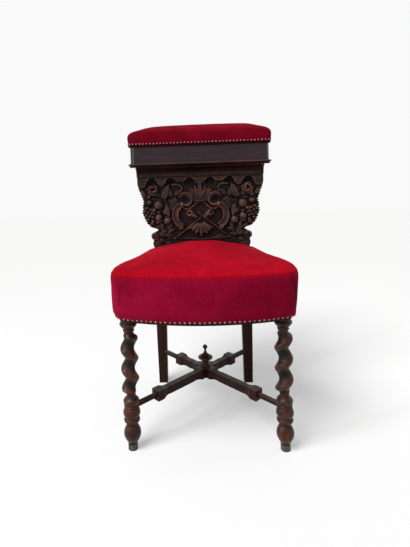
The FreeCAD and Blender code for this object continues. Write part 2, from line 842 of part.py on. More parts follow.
def stretcher_finial():
    """Turned ornament on the crossing, with a dowel below."""
    seat = "(stretcher_height + stretcher_block_side / 2)"
    ring_top = f"({seat} + finial_ring_height)"
    waist_top = f"({ring_top} + finial_waist_height)"
    widest = f"({waist_top} + finial_disc_lower_height)"
    disc_top = f"({widest} + finial_disc_upper_height)"
    spindle_top = f"({disc_top} + finial_spindle_height)"
    ball_top = f"({spindle_top} + finial_ball_diameter)"
    ring_half = "(finial_ring_diameter / 2)"
    disc_half = "(finial_disc_diameter / 2)"
    spindle = "(finial_spindle_diameter / 2)"
    ball_half = "(finial_ball_diameter / 2)"
    stops = [
        (ring_half, seat),
        (ring_half, ring_top),
        ("finial_waist_diameter / 2", waist_top),
        (f"{disc_half} * {DISC_LOW_SHARE}", f"{waist_top} + finial_disc_lower_height / 2"),
        (disc_half, widest),
        (f"{disc_half} * {DISC_HIGH_SHARE}", f"{widest} + finial_disc_upper_height / 3"),
        (spindle, disc_top),
        (spindle, spindle_top),
        (f"{ball_half} * {BALL_FLANK_SHARE}", f"{spindle_top} + {ball_half} / 2"),
        (f"{ball_half} * {BALL_FLANK_SHARE}", f"{ball_top} - {ball_half} / 2"),
        (f"{ball_half} * {BALL_TOP_SHARE}", ball_top),
    ]
    dowel_bottom = f"({seat} - finial_dowel_length)"
    dowel = cylinder("finial_dowel", "0", "0", dowel_bottom, "finial_dowel_diameter", "finial_dowel_length")
    form = turned("finial_form", stops, "turned_sides")
    piece(fuse("finial_turned", [form, dowel]), "stretcher_finial", "0", CROSS_Y)


# Rear legs


def rear_leg_blank(name):
    """The right rear leg: its front outline and its side outline, drawn out and intersected."""
    outer = "(rear_leg_spread / 2)"
    inner = "(rear_leg_spread / 2 - rear_leg_width)"
    foot_outer = "(rear_foot_spread / 2 + rear_foot_side / 2)"
    foot_inner = "(rear_foot_spread / 2 - rear_foot_side / 2)"
    post_outer = "(post_spread / 2)"
    post_inner = "(post_spread / 2 - post_width)"
    step_middle = "((post_step_bottom + post_step_top) / 2)"
    low_quarter = "(post_step_bottom * 3 / 4 + post_step_top / 4)"
    high_quarter = "(post_step_bottom / 4 + post_step_top * 3 / 4)"
    top = "(cornice_bottom + post_tenon_length)"

    def between(first, second, share):
        return f"({first} + ({second} - {first}) * {share})"

    def stepped(first, second, share, level):
        return between(first, second, share), level

    front = outline(
        f"{name}_front_outline",
        [
            (foot_inner, "0"),
            (foot_outer, "0"),
            (outer, "rail_bottom"),
            (outer, "post_step_bottom"),
            (
                *stepped(outer, post_outer, "1 / 8", low_quarter),
                *stepped(outer, post_outer, "1 / 2", step_middle),
            ),
            (*stepped(outer, post_outer, "7 / 8", high_quarter), post_outer, "post_step_top"),
            (post_outer, top),
            (post_inner, top),
            (post_inner, "post_step_top"),
            (
                *stepped(inner, post_inner, "7 / 8", high_quarter),
                *stepped(inner, post_inner, "1 / 2", step_middle),
            ),
            (*stepped(inner, post_inner, "1 / 8", low_quarter), inner, "post_step_bottom"),
            (inner, "rail_bottom"),
        ],
    )
    face = "rear_post_setback"
    back = "(rear_post_setback + rear_leg_depth)"
    foot_front = f"({face} + rear_leg_rake)"
    foot_back = f"({foot_front} + rear_foot_side)"
    side = outline(
        f"{name}_side_outline",
        [
            (between(foot_front, face, "2 / 3"), "rail_bottom / 2", foot_front, "0"),
            (foot_back, "0"),
            (between(foot_back, back, "2 / 3"), "rail_bottom / 2", back, "rail_bottom"),
            (back, top),
            (face, top),
            (face, "rail_bottom"),
        ],
    )
    front_form = extruded(f"{name}_front_form", front, f"2 * {foot_back}", True)
    place(front_form, turn=UPRIGHT)
    side_form = extruded(f"{name}_side_form", side, "rear_foot_spread", False)
    sideways = FreeCAD.Rotation(FreeCAD.Vector(1, 1, 1), 120)
    place(side_form, turn=sideways)
    return common(f"{name}_blank", front_form, side_form)


def rear_leg(side):
    """Sabre leg and post in one, mortised for the rails and bored for the stretcher."""
    name = f"rear_leg_{side}"
    tools = [
        side_rear_tenon(f"{name}_side_mortise", "joint_clearance"),
        back_tenon(f"{name}_back_mortise", "joint_clearance"),
        stretcher_socket(name, "left", "rear"),
    ]
    shaped = cut(f"{name}_cut", rear_leg_blank(name), tools)
    piece(mirrored(f"{name}_left", shaped) if side == "left" else shaped, name)


# Seat rails, cut from one ring that follows the seat's plan


def frame_ring(name):
    inner = frame_form(f"{name}_inner", -size("rail_thickness"))
    return cut(f"{name}_ring", frame_form(f"{name}_outer", 0), [inner])


def front_rail():
    """Bowed rail between the leg blocks, tenoned into them."""
    region = middle_box(
        "front_rail_region",
        "0",
        "0",
        "rail_bottom",
        f"2 * {BLOCK_INNER_X}",
        "2 * (seat_corner_reach + seat_front_bow)",
        "rail_height",
    )
    bowed = common("front_rail_bow", frame_ring("front_rail"), region)
    right_tenon = front_tenon("front_rail_right_tenon")
    left_tenon = mirrored("front_rail_left_tenon", right_tenon)
    piece(fuse("front_rail_whole", [bowed, right_tenon, left_tenon]), "front_rail")


def side_rail(side):
    """Splayed straight rail from the leg block to the rear post."""
    name = f"side_rail_{side}"
    length = f"rear_post_setback - {SIDE_RAIL_FRONT}"
    corner = ("0", SIDE_RAIL_FRONT, "rail_bottom")
    region = box(f"{name}_region", *corner, "seat_frame_width", length, "rail_height")
    straight = common(f"{name}_straight", frame_ring(name), region)
    whole = fuse(
        f"{name}_whole",
        [straight, side_front_tenon(f"{name}_front_tenon"), side_rear_tenon(f"{name}_rear_tenon")],
    )
    piece(mirrored(f"{name}_left", whole) if side == "left" else whole, name)


def back_rail():
    length = "(rear_leg_spread - 2 * rear_leg_width)"
    y = "(rear_post_setback + rail_thickness / 2)"
    board = middle_box("back_rail_board", "0", y, "rail_bottom", length, "rail_thickness", "rail_height")
    right_tenon = back_tenon("back_rail_right_tenon")
    left_tenon = mirrored("back_rail_left_tenon", right_tenon)
    piece(fuse("back_rail_whole", [board, right_tenon, left_tenon]), "back_rail")


def side_inner(y):
    """The inner face of the side rail at a distance behind the front legs."""
    return f"({side_middle(y)} - {RAIL_ACROSS} / 2)"


def glue_block(end, side):
    """A three-cornered block glued into a corner of the frame."""
    name = f"glue_block_{end}_{side}"
    if end == "front":
        face = SIDE_RAIL_FRONT
        far = f"({face} + glue_block_length)"
        stops = [(BLOCK_INNER_X, face), (side_inner(face), face), (side_inner(far), far)]
    else:
        face = "rear_post_setback"
        far = f"({face} - glue_block_length)"
        inward = f"{side_inner(face)} - glue_block_length"
        stops = [(side_inner(face), face), (inward, face), (side_inner(far), far)]
    triangle = outline(f"{name}_triangle", stops)
    whole = extruded(f"{name}_block", triangle, "glue_block_height")
    level = "rail_bottom + (rail_height - glue_block_height) / 2"
    if side == "left":
        place(whole, z=level)
        piece(mirrored(f"{name}_left", whole), name)
    else:
        piece(whole, name, z=level)


# Upholstery of the seat, from the webbing up

WEBBING_TOP = f"({RAIL_TOP} + webbing_thickness)"
HESSIAN_TOP = f"({WEBBING_TOP} + hessian_thickness)"
SEAT_REAR = "(panel_front - cover_gap)"


def seat_webbing():
    """Straps across and along the frame, tacked on top of the rails."""
    straps = []
    front = "(webbing_front_margin - seat_corner_reach - seat_front_bow)"
    rear = "(rear_post_setback + rail_thickness * 3 / 4)"
    for index in (-1, 0, 1):
        x = f"{index} * webbing_step"
        y = f"({front} + {rear}) / 2"
        name = f"webbing_along_{index + 1}"
        length = f"{rear} - {front}"
        straps.append(middle_box(name, x, y, RAIL_TOP, "webbing_width", length, "webbing_thickness"))
        row_y = f"(webbing_first_row + {index + 1} * webbing_step)"
        half = f"({side_middle(f'({row_y} + webbing_width / 2)')} + rail_thickness / 4)"
        name = f"webbing_across_{index + 1}"
        length = f"2 * {half}"
        straps.append(middle_box(name, "0", row_y, RAIL_TOP, length, "webbing_width", "webbing_thickness"))
    piece(fuse("webbing_net", straps), "seat_webbing")


def seat_cushion():
    """Hessian, stuffing and the velvet cover with its crown and drawn-in sides."""
    rear = size(SEAT_REAR)
    level = size(WEBBING_TOP)
    hessian = seat_prism("hessian", -size("hessian_margin"), level, size("hessian_thickness"), rear)
    piece(hessian, "seat_hessian")
    gap = size("cover_gap")
    margin = size("stuffing_margin")
    stuffing_rear = rear - margin
    top = size(HESSIAN_TOP)
    stuffing = seat_prism("stuffing", -margin - gap, top, size("stuffing_height"), stuffing_rear - gap)
    piece(stuffing, "seat_stuffing")
    past_rear = rear + 2 * size("cover_rear_rounding")
    frame_height = size(f"{HESSIAN_TOP} - rail_bottom") + gap
    hollow = [
        seat_prism("cover_frame_hollow", gap, size("rail_bottom"), frame_height, past_rear),
        seat_prism("cover_stuffing_hollow", -margin, top, size("stuffing_height") + gap, stuffing_rear),
    ]
    piece(cut("cover_cut", solid("cover_form", cover_form(rear)), hollow), "seat_cover")


def cover_form(rear):
    """The outside of the cover: bulged sides, rolled shoulder and a crown that is full at the back."""
    thickness = size("cover_thickness")
    bulge = size("cover_bulge")
    shoulder = size(f"{RAIL_TOP} + cover_shoulder_rise")
    rear_half = size("seat_frame_width") / 2 + thickness
    rear_half -= side_slope() * (rear + size("seat_corner_reach"))
    shoulder_outset = thickness + bulge - size("cover_shoulder_inset")
    levels = (
        (size(f"{RAIL_TOP} - cover_skirt"), thickness),
        (size(f"{RAIL_TOP} - cover_bulge_drop"), thickness + bulge * BULGE_SHARE),
        (shoulder - size("cover_shoulder_drop"), thickness + bulge),
        (shoulder, shoulder_outset),
    )
    wires = []
    for level, outset in levels:
        wires.append(
            plan_wire(
                level,
                size("seat_frame_width") / 2 + outset,
                -size("seat_corner_reach") - outset,
                size("seat_front_bow"),
                rear_half,
                rear,
                size("seat_corner_rounding") + outset,
                size("cover_rear_rounding"),
            )
        )
    front_half = size("seat_frame_width") / 2 + shoulder_outset
    corner_y = -size("seat_corner_reach") - shoulder_outset
    for step, rise, rear_width, rear_reach in CROWN_SHARES:
        wires.append(
            plan_wire(
                shoulder + rise * size("cover_crown_rise"),
                front_half - step * size("cover_side_inset"),
                corner_y + step * size("cover_front_inset"),
                size("seat_front_bow") * (1 - step / 2),
                rear_half * rear_width,
                rear - rear_reach * size("cover_rear_inset"),
                (size("seat_corner_rounding") + shoulder_outset) * (1 + step / 3),
                size("cover_rear_rounding"),
            )
        )
    return skinned([segmented(wire) for wire in wires])


# Carved back panel, all one board

PANEL_BOTTOM = f"({HESSIAN_TOP} + panel_gap_over_webbing)"
PANEL_GROUND = "(panel_front + panel_relief)"
GROUND_DEPTH = "(rear_post_setback - panel_front - panel_relief)"
# Raised carving starts at the depth of the cartouche's field, so that it is rooted there too
RELIEF_ROOT = f"({PANEL_GROUND} + cartouche_depth)"
RELIEF_LENGTH = "(panel_relief + cartouche_depth)"


def upright(name, stops, length, y):
    """An outline in the panel's plane, drawn forward from y."""
    return place(extruded(name, outline(f"{name}_outline", stops), length), "0", y, "0", UPRIGHT)


def panel_point(width_share, height_share, side=1):
    x = f"({side * width_share} * panel_top_width / 2)"
    z = f"({PANEL_BOTTOM} + {height_share} * (cornice_bottom - {PANEL_BOTTOM}))"
    return x, z


def motif_place(name, side=1):
    """The middle of a carved motif on either side of the panel."""
    return panel_point(*MOTIF_PLACE_SHARES[name], side)


def panel_board():
    """The board's outline: a wide head, a waist above the volutes and a plain foot."""
    right = []
    for stop in PANEL_EDGE_SHARES:
        ends = [panel_point(*stop[index : index + 2]) for index in range(0, len(stop), 2)]
        right.append(tuple(text for point in ends for text in point))
    left = []
    for stop in reversed_stops(right):
        left.append(tuple(text if index % 2 else f"0 - {text}" for index, text in enumerate(stop)))
    return upright("panel_board", right + left, GROUND_DEPTH, "rear_post_setback")


def arch(x, bottom, width, height):
    """The outline of a round-headed niche or tongue; a negative height hangs down."""
    half = f"({width}) / 2"
    sign = "-1" if height.startswith("-") else "1"
    spring = f"({bottom} + ({height}) - {sign} * {half})"
    return [
        (f"{x} - {half}", bottom),
        (f"{x} - {half}", spring),
        (x, f"{spring} + {sign} * {half}", f"{x} + {half}", spring),
        (f"{x} + {half}", bottom),
    ]


def valance():
    """The raised band under the cornice, with tongues between the six niches."""
    band_bottom = f"(cornice_bottom - panel_valance_height * {VALANCE_BAND_SHARE})"
    half = "panel_top_width / 2"
    band = upright(
        "valance_band",
        [
            (f"0 - {half}", band_bottom),
            (half, band_bottom),
            (half, "cornice_bottom"),
            (f"0 - {half}", "cornice_bottom"),
        ],
        RELIEF_LENGTH,
        RELIEF_ROOT,
    )
    forms = [band]
    for place_share, width_share, drop_share in TAB_SHARES:
        for side in (-1, 1) if place_share else (1,):
            x = f"({side * place_share} * {half})"
            width = f"({width_share} * panel_top_width)"
            drop = f"-{drop_share} * panel_valance_height"
            name = f"valance_tab_{len(forms)}"
            forms.append(upright(name, arch(x, band_bottom, width, drop), RELIEF_LENGTH, RELIEF_ROOT))
    return forms


def arches():
    """The blind round-headed niches in the head of the panel."""
    forms = []
    bottom = "(cornice_bottom - panel_arch_rise - panel_arch_height)"
    for share in ARCH_PLACE_SHARES:
        for side in (-1, 1):
            x = f"({side * share} * panel_top_width / 2)"
            name = f"panel_arch_{len(forms)}"
            stops = arch(x, bottom, "panel_arch_width", "panel_arch_height")
            forms.append(upright(name, stops, f"2 * {GROUND_DEPTH}", "(rear_post_setback - panel_arch_back)"))
    return forms


def scroll(name, middle, radius, facing, sweep):
    """A raised scroll band along an arc whose bulge faces one way."""
    x, z = middle
    half = "scroll_wire / 2"

    def spot(way, share):
        angle = facing + sweep * (share - 1 / 2)
        away = f"({radius} {way} {half})"
        return f"{x} + {away} * cos({angle} deg)", f"{z} + {away} * sin({angle} deg)"

    stops = [
        spot("-", 0),
        spot("+", 0),
        (*spot("+", 0.25), *spot("+", 0.5)),
        (*spot("+", 0.75), *spot("+", 1)),
        spot("-", 1),
        (*spot("-", 0.75), *spot("-", 0.5)),
        (*spot("-", 0.25), *spot("-", 0)),
    ]
    return upright(name, stops[1:], RELIEF_LENGTH, RELIEF_ROOT)


def button(name, x, z, diameter, height):
    """A rounded boss on the panel's ground."""
    sections = [(f"{diameter} / 2", x, RELIEF_ROOT, z)]
    for share, rise in BUTTON_SHARES:
        sections.append((f"{diameter} / 2 * {share}", x, f"{PANEL_GROUND} - {rise} * {height}", z))
    return lofted(name, sections, "carved_sides", UPRIGHT)


def scrolls():
    """Crest scrolls beside the palmette and the two long scrolls of the cartouche."""
    forms = []
    for side, outward, inward in ((-1, FACING_LEFT, FACING_RIGHT), (1, FACING_RIGHT, FACING_LEFT)):
        name = f"crest_scroll_{side + 1}"
        x, z = motif_place("crest_scroll", side)
        forms.append(scroll(name, (x, z), "crest_scroll_radius", inward, CREST_SCROLL_SWEEP))
        eye_x = f"{x} + {side} * crest_scroll_radius / 2"
        eye_z = f"{z} - crest_scroll_radius * 2 / 3"
        forms.append(button(f"{name}_eye", eye_x, eye_z, "scroll_eye_diameter", "scroll_eye_diameter / 2"))
        place_of_long = motif_place("cartouche", side)
        name = f"long_scroll_{side + 1}"
        forms.append(scroll(name, place_of_long, "cartouche_radius", outward, LONG_SCROLL_SWEEP))
    return forms


def rays(name, angles, length, root, tip):
    """A motif's blunt-ended rays, which fan out in the panel's plane; angle 0 points up."""
    x, z = motif_place(name)
    forms = []
    for index, angle in enumerate(angles):

        def spot(along, across):
            dx = f"({along}) * sin({angle} deg) + ({across}) * cos({angle} deg)"
            dz = f"({along}) * cos({angle} deg) - ({across}) * sin({angle} deg)"
            return f"{x} + {dx}", f"{z} + {dz}"

        stops = [
            spot("0", f"0 - {root} / 2"),
            spot(length, f"0 - {tip} / 2"),
            spot(f"{length} + {tip} / 2", f"0 - {tip} / 4"),
            spot(f"{length} + {tip} / 2", f"{tip} / 4"),
            spot(length, f"{tip} / 2"),
            spot("0", f"{root} / 2"),
        ]
        forms.append(upright(f"{name}_{index}", stops, RELIEF_LENGTH, RELIEF_ROOT))
    return forms


def pipe(side):
    """A tobacco pipe of the crossed pair; its stem runs down past the other's."""
    sign = 1 if side == "right" else -1
    angle = math.degrees(math.atan2(size("pipe_stem_run"), size("pipe_stem_drop")))
    lean = FreeCAD.Rotation(FreeCAD.Vector(0, 1, 0), sign * (180 + angle))
    slope_length = "sqrt(pipe_stem_run ^ 2 + pipe_stem_drop ^ 2)"
    x, foot = motif_place("pipe", sign)
    y = f"({PANEL_GROUND} + cartouche_depth / 4)"
    stem = cylinder(f"pipe_stem_{side}", x, y, foot, "pipe_stem_diameter", slope_length, lean)
    tilt = FreeCAD.Rotation(FreeCAD.Vector(0, 1, 0), sign * size("pipe_bowl_tilt"))
    tilt_angle = "(pipe_bowl_tilt * 1 deg)"

    def up(along):
        across = f"{x} + {sign} * ({along}) * sin({tilt_angle})"
        return across, y, f"{foot} + ({along}) * cos({tilt_angle})"

    sections = []
    for share, width in PIPE_BOWL_SHARES:
        along = f"{share} * pipe_bowl_height - pipe_bowl_foot / 2"
        sections.append((f"pipe_bowl_diameter / 2 * {width}", *up(along)))
    bowl = lofted(f"pipe_bowl_{side}", sections, "carved_sides", tilt)
    floor = "pipe_bowl_height - pipe_bowl_foot / 2 - pipe_bowl_depth"
    bore = cylinder(f"pipe_bore_{side}", *up(floor), "pipe_bowl_bore", "2 * pipe_bowl_depth", tilt)
    return [stem, cut(f"pipe_hollow_{side}", bowl, [bore])]


def fruit_and_leaves():
    """The main masses of the fruit swags at either side."""
    forms = []
    for side in (-1, 1):
        end = side + 1
        for name, width in (("fruit", "fruit_diameter"), ("small_fruit", "small_fruit_diameter")):
            forms.append(button(f"{name}_{end}", *motif_place(name, side), width, f"{width} / 2"))
        x, z = motif_place("leaf", side)
        slant = f"{side} * leaf_length / 4"
        half = "leaf_width / 2"
        low = (f"{x} + {slant}", f"{z} - leaf_length / 2")
        high = (f"{x} - {slant}", f"{z} + leaf_length / 2")
        leaf = [(f"{x} + {half}", z, *high), (f"{x} - {half}", z, *low)]
        forms.append(upright(f"leaf_{end}", leaf, RELIEF_LENGTH, RELIEF_ROOT))
    return forms


def volutes():
    """The round scroll ends beside the cushion."""
    forms = []
    backward = FreeCAD.Rotation(FreeCAD.Vector(1, 0, 0), 90)
    for side in (-1, 1):
        for level in ("upper_volute", "lower_volute"):
            x, z = motif_place(level, side)
            name = f"{level}_{side + 1}"
            width = f"{level}_diameter"
            forms.append(cylinder(name, x, "rear_post_setback", z, width, GROUND_DEPTH, backward))
            forms.append(button(f"{name}_boss", x, z, f"({width} * {VOLUTE_BOSS_SHARE})", "panel_relief"))
    return forms


def back_panel():
    """The carved board: valance with niches, scrolls, palmette, crossed pipes, fruit and shell."""
    waist, middle = motif_place("cartouche")
    half = f"({waist} + cartouche_radius)"
    low = f"({middle} - cartouche_radius * {FIELD_LOW_SHARE})"
    high = f"({middle} + cartouche_radius)"
    field = upright(
        "cartouche_field",
        [
            (waist, low),
            (half, middle, waist, high),
            (f"0 - {waist}", high),
            (f"0 - {half}", middle, f"0 - {waist}", low),
        ],
        "2 * cartouche_depth",
        f"{PANEL_GROUND} + cartouche_depth",
    )
    ground = cut("panel_ground", panel_board(), [field])
    forms = [ground, *valance(), *scrolls(), *volutes(), *fruit_and_leaves()]
    leaf = ("palmette_leaf_length", "palmette_leaf_root", "palmette_leaf_tip")
    forms += rays("palmette", PALMETTE_LEAF_ANGLES, *leaf)
    downward = [180 + angle for angle in SHELL_LOBE_ANGLES]
    forms += rays("shell", downward, "shell_lobe_length", "shell_lobe_root", "shell_lobe_tip")
    forms += pipe("left") + pipe("right")
    relief = fuse("panel_relief_forms", forms)
    behind = middle_box(
        "panel_behind",
        "0",
        "rear_post_setback + rear_leg_depth / 2",
        "rail_bottom",
        "2 * panel_top_width",
        "rear_leg_depth",
        "cornice_bottom",
    )
    piece(cut("panel_carved", relief, [*arches(), behind]), "back_panel")


# Cornice and tobacco box

SIDEWAYS = FreeCAD.Rotation(FreeCAD.Vector(1, 1, 1), 120)
BOX_BOTTOM = "(cornice_bottom + cornice_height)"
BOX_WALL_BOTTOM = f"({BOX_BOTTOM} + box_floor_thickness)"
BOX_TOP = f"({BOX_WALL_BOTTOM} + box_height)"
BOX_REAR = "(box_front + box_depth)"
LID_BOTTOM = f"({BOX_TOP} + lid_gap)"
LID_TOP = f"({LID_BOTTOM} + lid_board_thickness)"


def back_cornice():
    """Coved top rail, housed over the ends of the posts."""
    back = "(rear_post_setback + rear_leg_depth + cornice_fillet)"
    top_edge = f"({BOX_BOTTOM} - cornice_fillet)"
    cove_back = "(cornice_front + cornice_cove)"
    cove_bottom = f"({top_edge} - cornice_cove)"
    profile = outline(
        "cornice_profile",
        [
            (cove_back, "cornice_bottom"),
            (back, "cornice_bottom"),
            (back, BOX_BOTTOM),
            ("cornice_front", BOX_BOTTOM),
            ("cornice_front", top_edge),
            (
                f"cornice_front + cornice_cove * {QUARTER_MIDDLE_SHARE}",
                f"{cove_bottom} + cornice_cove * {QUARTER_MIDDLE_SHARE}",
                cove_back,
                cove_bottom,
            ),
        ],
    )
    width = "panel_top_width + 2 * cornice_overhang"
    moulding = place(extruded("cornice_moulding", profile, width, True), turn=SIDEWAYS)
    mortises = []
    for side in (-1, 1):
        mortises.append(
            middle_box(
                f"cornice_mortise_{side + 1}",
                f"{side} * (post_spread - post_width) / 2",
                "rear_post_setback + rear_leg_depth / 2",
                "cornice_bottom",
                "post_width + 2 * joint_clearance",
                "rear_leg_depth + 2 * joint_clearance",
                "post_tenon_length + joint_clearance",
            )
        )
    piece(cut("cornice_cut", moulding, mortises), "back_cornice")


def box_wire(level, outset, rounding, rear_outset=None):
    """A plan outline of the box, grown by outset, at the rear by an outset of its own."""
    rear = outset if rear_outset is None else rear_outset
    half = size("box_width") / 2 + outset
    rear_y = size(BOX_REAR) + rear
    edge = size("box_rear_rounding")
    return plan_wire(level, half, size("box_front") - outset, 0, half, rear_y, rounding, edge)


def box_floor():
    """Floor board that oversails the walls with a rounded edge."""
    margin = size("box_floor_margin")
    edge = size("box_floor_edge")
    bottom = size(BOX_BOTTOM)
    top = size(BOX_WALL_BOTTOM)
    rounding = size("box_corner_rounding")
    wires = []
    for level, inset in ((bottom, edge), (bottom + edge, 0), (top - edge, 0), (top, edge)):
        wires.append(box_wire(level, margin - inset, rounding))
    piece(solid("box_floor_board", Part.makeLoft(wires, True, True)), "box_floor")


def box_walls():
    """Front with rounded ends, two end boards and a back let in for the hinges."""
    rounding = size("box_corner_rounding")
    wall = size("box_wall")
    level = size(BOX_WALL_BOTTOM)
    height = size("box_height")
    outer = prism(box_wire(level, 0, rounding), height)
    inner = prism(box_wire(level, -wall, rounding - wall), height)
    joint_y = "(box_front + box_corner_rounding + box_wall / 2)"
    for name, region in {
        "box_front": ("0", "box_front", "box_width", f"{joint_y} - box_front"),
        "box_end_right": ("box_width / 2", joint_y, "2 * box_wall", f"{BOX_REAR} - box_wall - {joint_y}"),
        "box_end_left": ("0 - box_width / 2", joint_y, "2 * box_wall", f"{BOX_REAR} - box_wall - {joint_y}"),
        "box_back": ("0", f"{BOX_REAR} - box_wall", "box_width", "box_wall"),
    }.items():
        x, y, length, width = region
        ring = cut(f"{name}_ring", solid(f"{name}_outer", outer), [solid(f"{name}_inner", inner)])
        if name == "box_back":
            ring = solid(f"{name}_board", outer)
        corner = (f"{x} - ({length}) / 2", y, BOX_WALL_BOTTOM)
        limits = box(f"{name}_limits", *corner, length, width, "box_height")
        shaped = common(f"{name}_shaped", ring, limits)
        if name == "box_back":
            shaped = cut("box_back_cut", shaped, leaf_recesses("box", f"({BOX_TOP} - hinge_leaf_thickness)"))
        piece(shaped, name)


def leaf_recesses(name, level):
    """The two shallow recesses that let the hinge leaves in flush."""
    tools = []
    for side in (-1, 1):
        tools.append(
            middle_box(
                f"{name}_recess_{side + 1}",
                f"{side} * {HINGE_X}",
                f"{HINGE_Y} - hinge_leaf_width / 2",
                level,
                "hinge_length",
                "hinge_leaf_width",
                "hinge_leaf_thickness",
            )
        )
    return tools


# Brass hinges: the box leaf has the outer knuckles and the lid leaf the middle one

HINGE_X = "(box_width / 2 - hinge_inset)"
HINGE_Y = f"({BOX_REAR} + hinge_back_gap + hinge_barrel_diameter / 2)"
HINGE_Z = f"({BOX_TOP} + lid_gap / 2)"
KNUCKLE = "(hinge_length / 3)"


def hinge_leaf(name, side, on_lid):
    """A leaf with its knuckles bored for the pin."""
    centre = f"{side} * {HINGE_X}"
    level = LID_BOTTOM if on_lid else f"({BOX_TOP} - hinge_leaf_thickness)"
    plate_depth = f"({BOX_REAR} - {HINGE_Y} + hinge_leaf_width)"
    plate_y = f"{HINGE_Y} - hinge_leaf_width + {plate_depth} / 2"
    thickness = "hinge_leaf_thickness"
    forms = [middle_box(f"{name}_plate", centre, plate_y, level, "hinge_length", plate_depth, thickness)]
    length = f"({KNUCKLE} - hinge_knuckle_gap)"
    for index in (0,) if on_lid else (-1, 1):
        x = f"{centre} + {index} * {KNUCKLE}"
        if index:
            x += f" + {index} * hinge_knuckle_gap / 2"
        tongue_y = f"({BOX_REAR} + {HINGE_Y}) / 2"
        depth = f"{HINGE_Y} - {BOX_REAR}"
        forms.append(middle_box(f"{name}_tongue_{index + 1}", x, tongue_y, level, length, depth, thickness))
        start = (f"{x} - {length} / 2", HINGE_Y, HINGE_Z)
        knuckle = f"{name}_knuckle_{index + 1}"
        forms.append(cylinder(knuckle, *start, "hinge_barrel_diameter", length, ALONG_X))
    bore_start = f"{centre} - hinge_length"
    width = "hinge_pin_diameter + 2 * hinge_pin_clearance"
    bore = cylinder(f"{name}_bore", bore_start, HINGE_Y, HINGE_Z, width, "2 * hinge_length", ALONG_X)
    return cut(f"{name}_cut", fuse(f"{name}_forms", forms), [bore])


def hinge_pin(name, side):
    """A straight pin through the three knuckles."""
    start = f"{side} * {HINGE_X} - hinge_length / 2"
    pin = cylinder(name, "0", "0", "0", "hinge_pin_diameter", "hinge_length")
    piece(pin, f"hinge_{name}", start, HINGE_Y, HINGE_Z, ALONG_X)


def hinges():
    for side, word in ((-1, "left"), (1, "right")):
        piece(hinge_leaf(f"box_leaf_{word}", side, False), f"hinge_box_leaf_{word}")
        piece(hinge_leaf(f"lid_leaf_{word}", side, True), f"hinge_lid_leaf_{word}")
        hinge_pin(f"pin_{word}", side)


# Lid


def lid():
    """Lid board, stuffing and the velvet pad that wraps down over the board's edge."""
    overhang = size("lid_board_overhang")
    gap = size("cover_gap")
    rounding = size("box_corner_rounding")
    bottom = size(LID_BOTTOM)
    thickness = size("lid_board_thickness")
    board = solid("lid_board_form", prism(box_wire(bottom, overhang, rounding, 0), thickness))
    piece(cut("lid_board_cut", board, leaf_recesses("lid", LID_BOTTOM)), "lid_board")
    inner = -size("lid_stuffing_margin")
    top = size(LID_TOP)
    height = size("lid_stuffing_height")
    stuffing = solid("lid_stuffing_form", prism(box_wire(top, inner - gap, rounding / 2), height))
    piece(stuffing, "lid_stuffing")
    around_board = box_wire(bottom, overhang + gap, rounding + gap, gap)
    hollows = [
        solid("lid_board_hollow", prism(around_board, thickness + gap)),
        solid("lid_stuffing_hollow", prism(box_wire(top, inner, rounding / 2), height + gap)),
    ]
    piece(cut("lid_cover_cut", solid("lid_cover_form", lid_pad_form()), hollows), "lid_cover")


def lid_pad_form():
    """A bolster-like pad: bulged sides, rounded shoulders and a low crown."""
    bottom = size(LID_BOTTOM)
    base = size("lid_cover_thickness + lid_board_overhang")
    rear_base = size("lid_cover_thickness")
    rounding = size("box_corner_rounding")
    bulge = size("lid_pad_bulge")
    shoulder = bottom + size("lid_pad_shoulder_height")
    crown_bottom = bottom + size("lid_pad_height - lid_pad_crown")
    corner = size("lid_pad_corner")

    def ring(level, outset, round_off):
        return box_wire(level, base + outset, round_off, rear_base + outset)

    wires = [
        ring(bottom + size("lid_cover_lift"), 0, rounding),
        ring(size(LID_TOP), bulge / 2, rounding),
        ring(shoulder, bulge, rounding),
    ]
    for step, rise in PAD_SHOULDER_SHARES:
        level = shoulder + rise * (crown_bottom - shoulder)
        wires.append(ring(level, bulge - step * corner, rounding))
    half_width = size("box_width") / 2 + base + bulge - corner
    half_depth = size("box_depth") / 2 + (base + rear_base) / 2 + bulge - corner
    middle_y = size("box_front") + size("box_depth") / 2 + (rear_base - base) / 2
    for step, rise in PAD_CROWN_SHARES:
        half = half_width * (1 - step)
        depth = half_depth * (1 - step)
        level = crown_bottom + rise * size("lid_pad_crown")
        round_off = min(rounding, depth / 2)
        sides = (half, middle_y - depth, 0, half, middle_y + depth)
        wires.append(plan_wire(level, *sides, round_off, round_off))
    return skinned([segmented(wire) for wire in wires])


def check_document():
    """Stop if any object failed or any piece isn't a sound solid."""
    doc.recompute()
    for item in doc.Objects:
        if "Invalid" in item.State or "Error" in item.State:
            raise RuntimeError(f"{item.Name} failed: {item.State}")
    for item in pieces:
        if item.Shape.isNull() or not item.Shape.isValid() or not item.Shape.Solids:
            raise RuntimeError(f"{item.Label} has no sound solid")


front_leg("left", "-", "left_twist_height", "-1")
front_leg("right", "+", "right_twist_height", "1")
rear_leg("left")
rear_leg("right")
stretcher_bar("left", True)
stretcher_bar("right", False)
stretcher_finial()
front_rail()
side_rail("left")
side_rail("right")
back_rail()
for end in ("front", "rear"):
    for side in ("left", "right"):
        glue_block(end, side)
seat_webbing()
seat_cushion()
back_panel()
back_cornice()
box_floor()
box_walls()
hinges()
lid()
check_document()
os.makedirs("parts", exist_ok=True)
for item in pieces:
    item.Shape.exportStep(f"parts/{item.Label}.step")
    print(item.Label, len(item.Shape.Solids), round(item.Shape.Volume / 1000, 1), "cm3")
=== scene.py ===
import math

import bmesh
import bpy
import numpy as np
from mathutils import Matrix, Vector

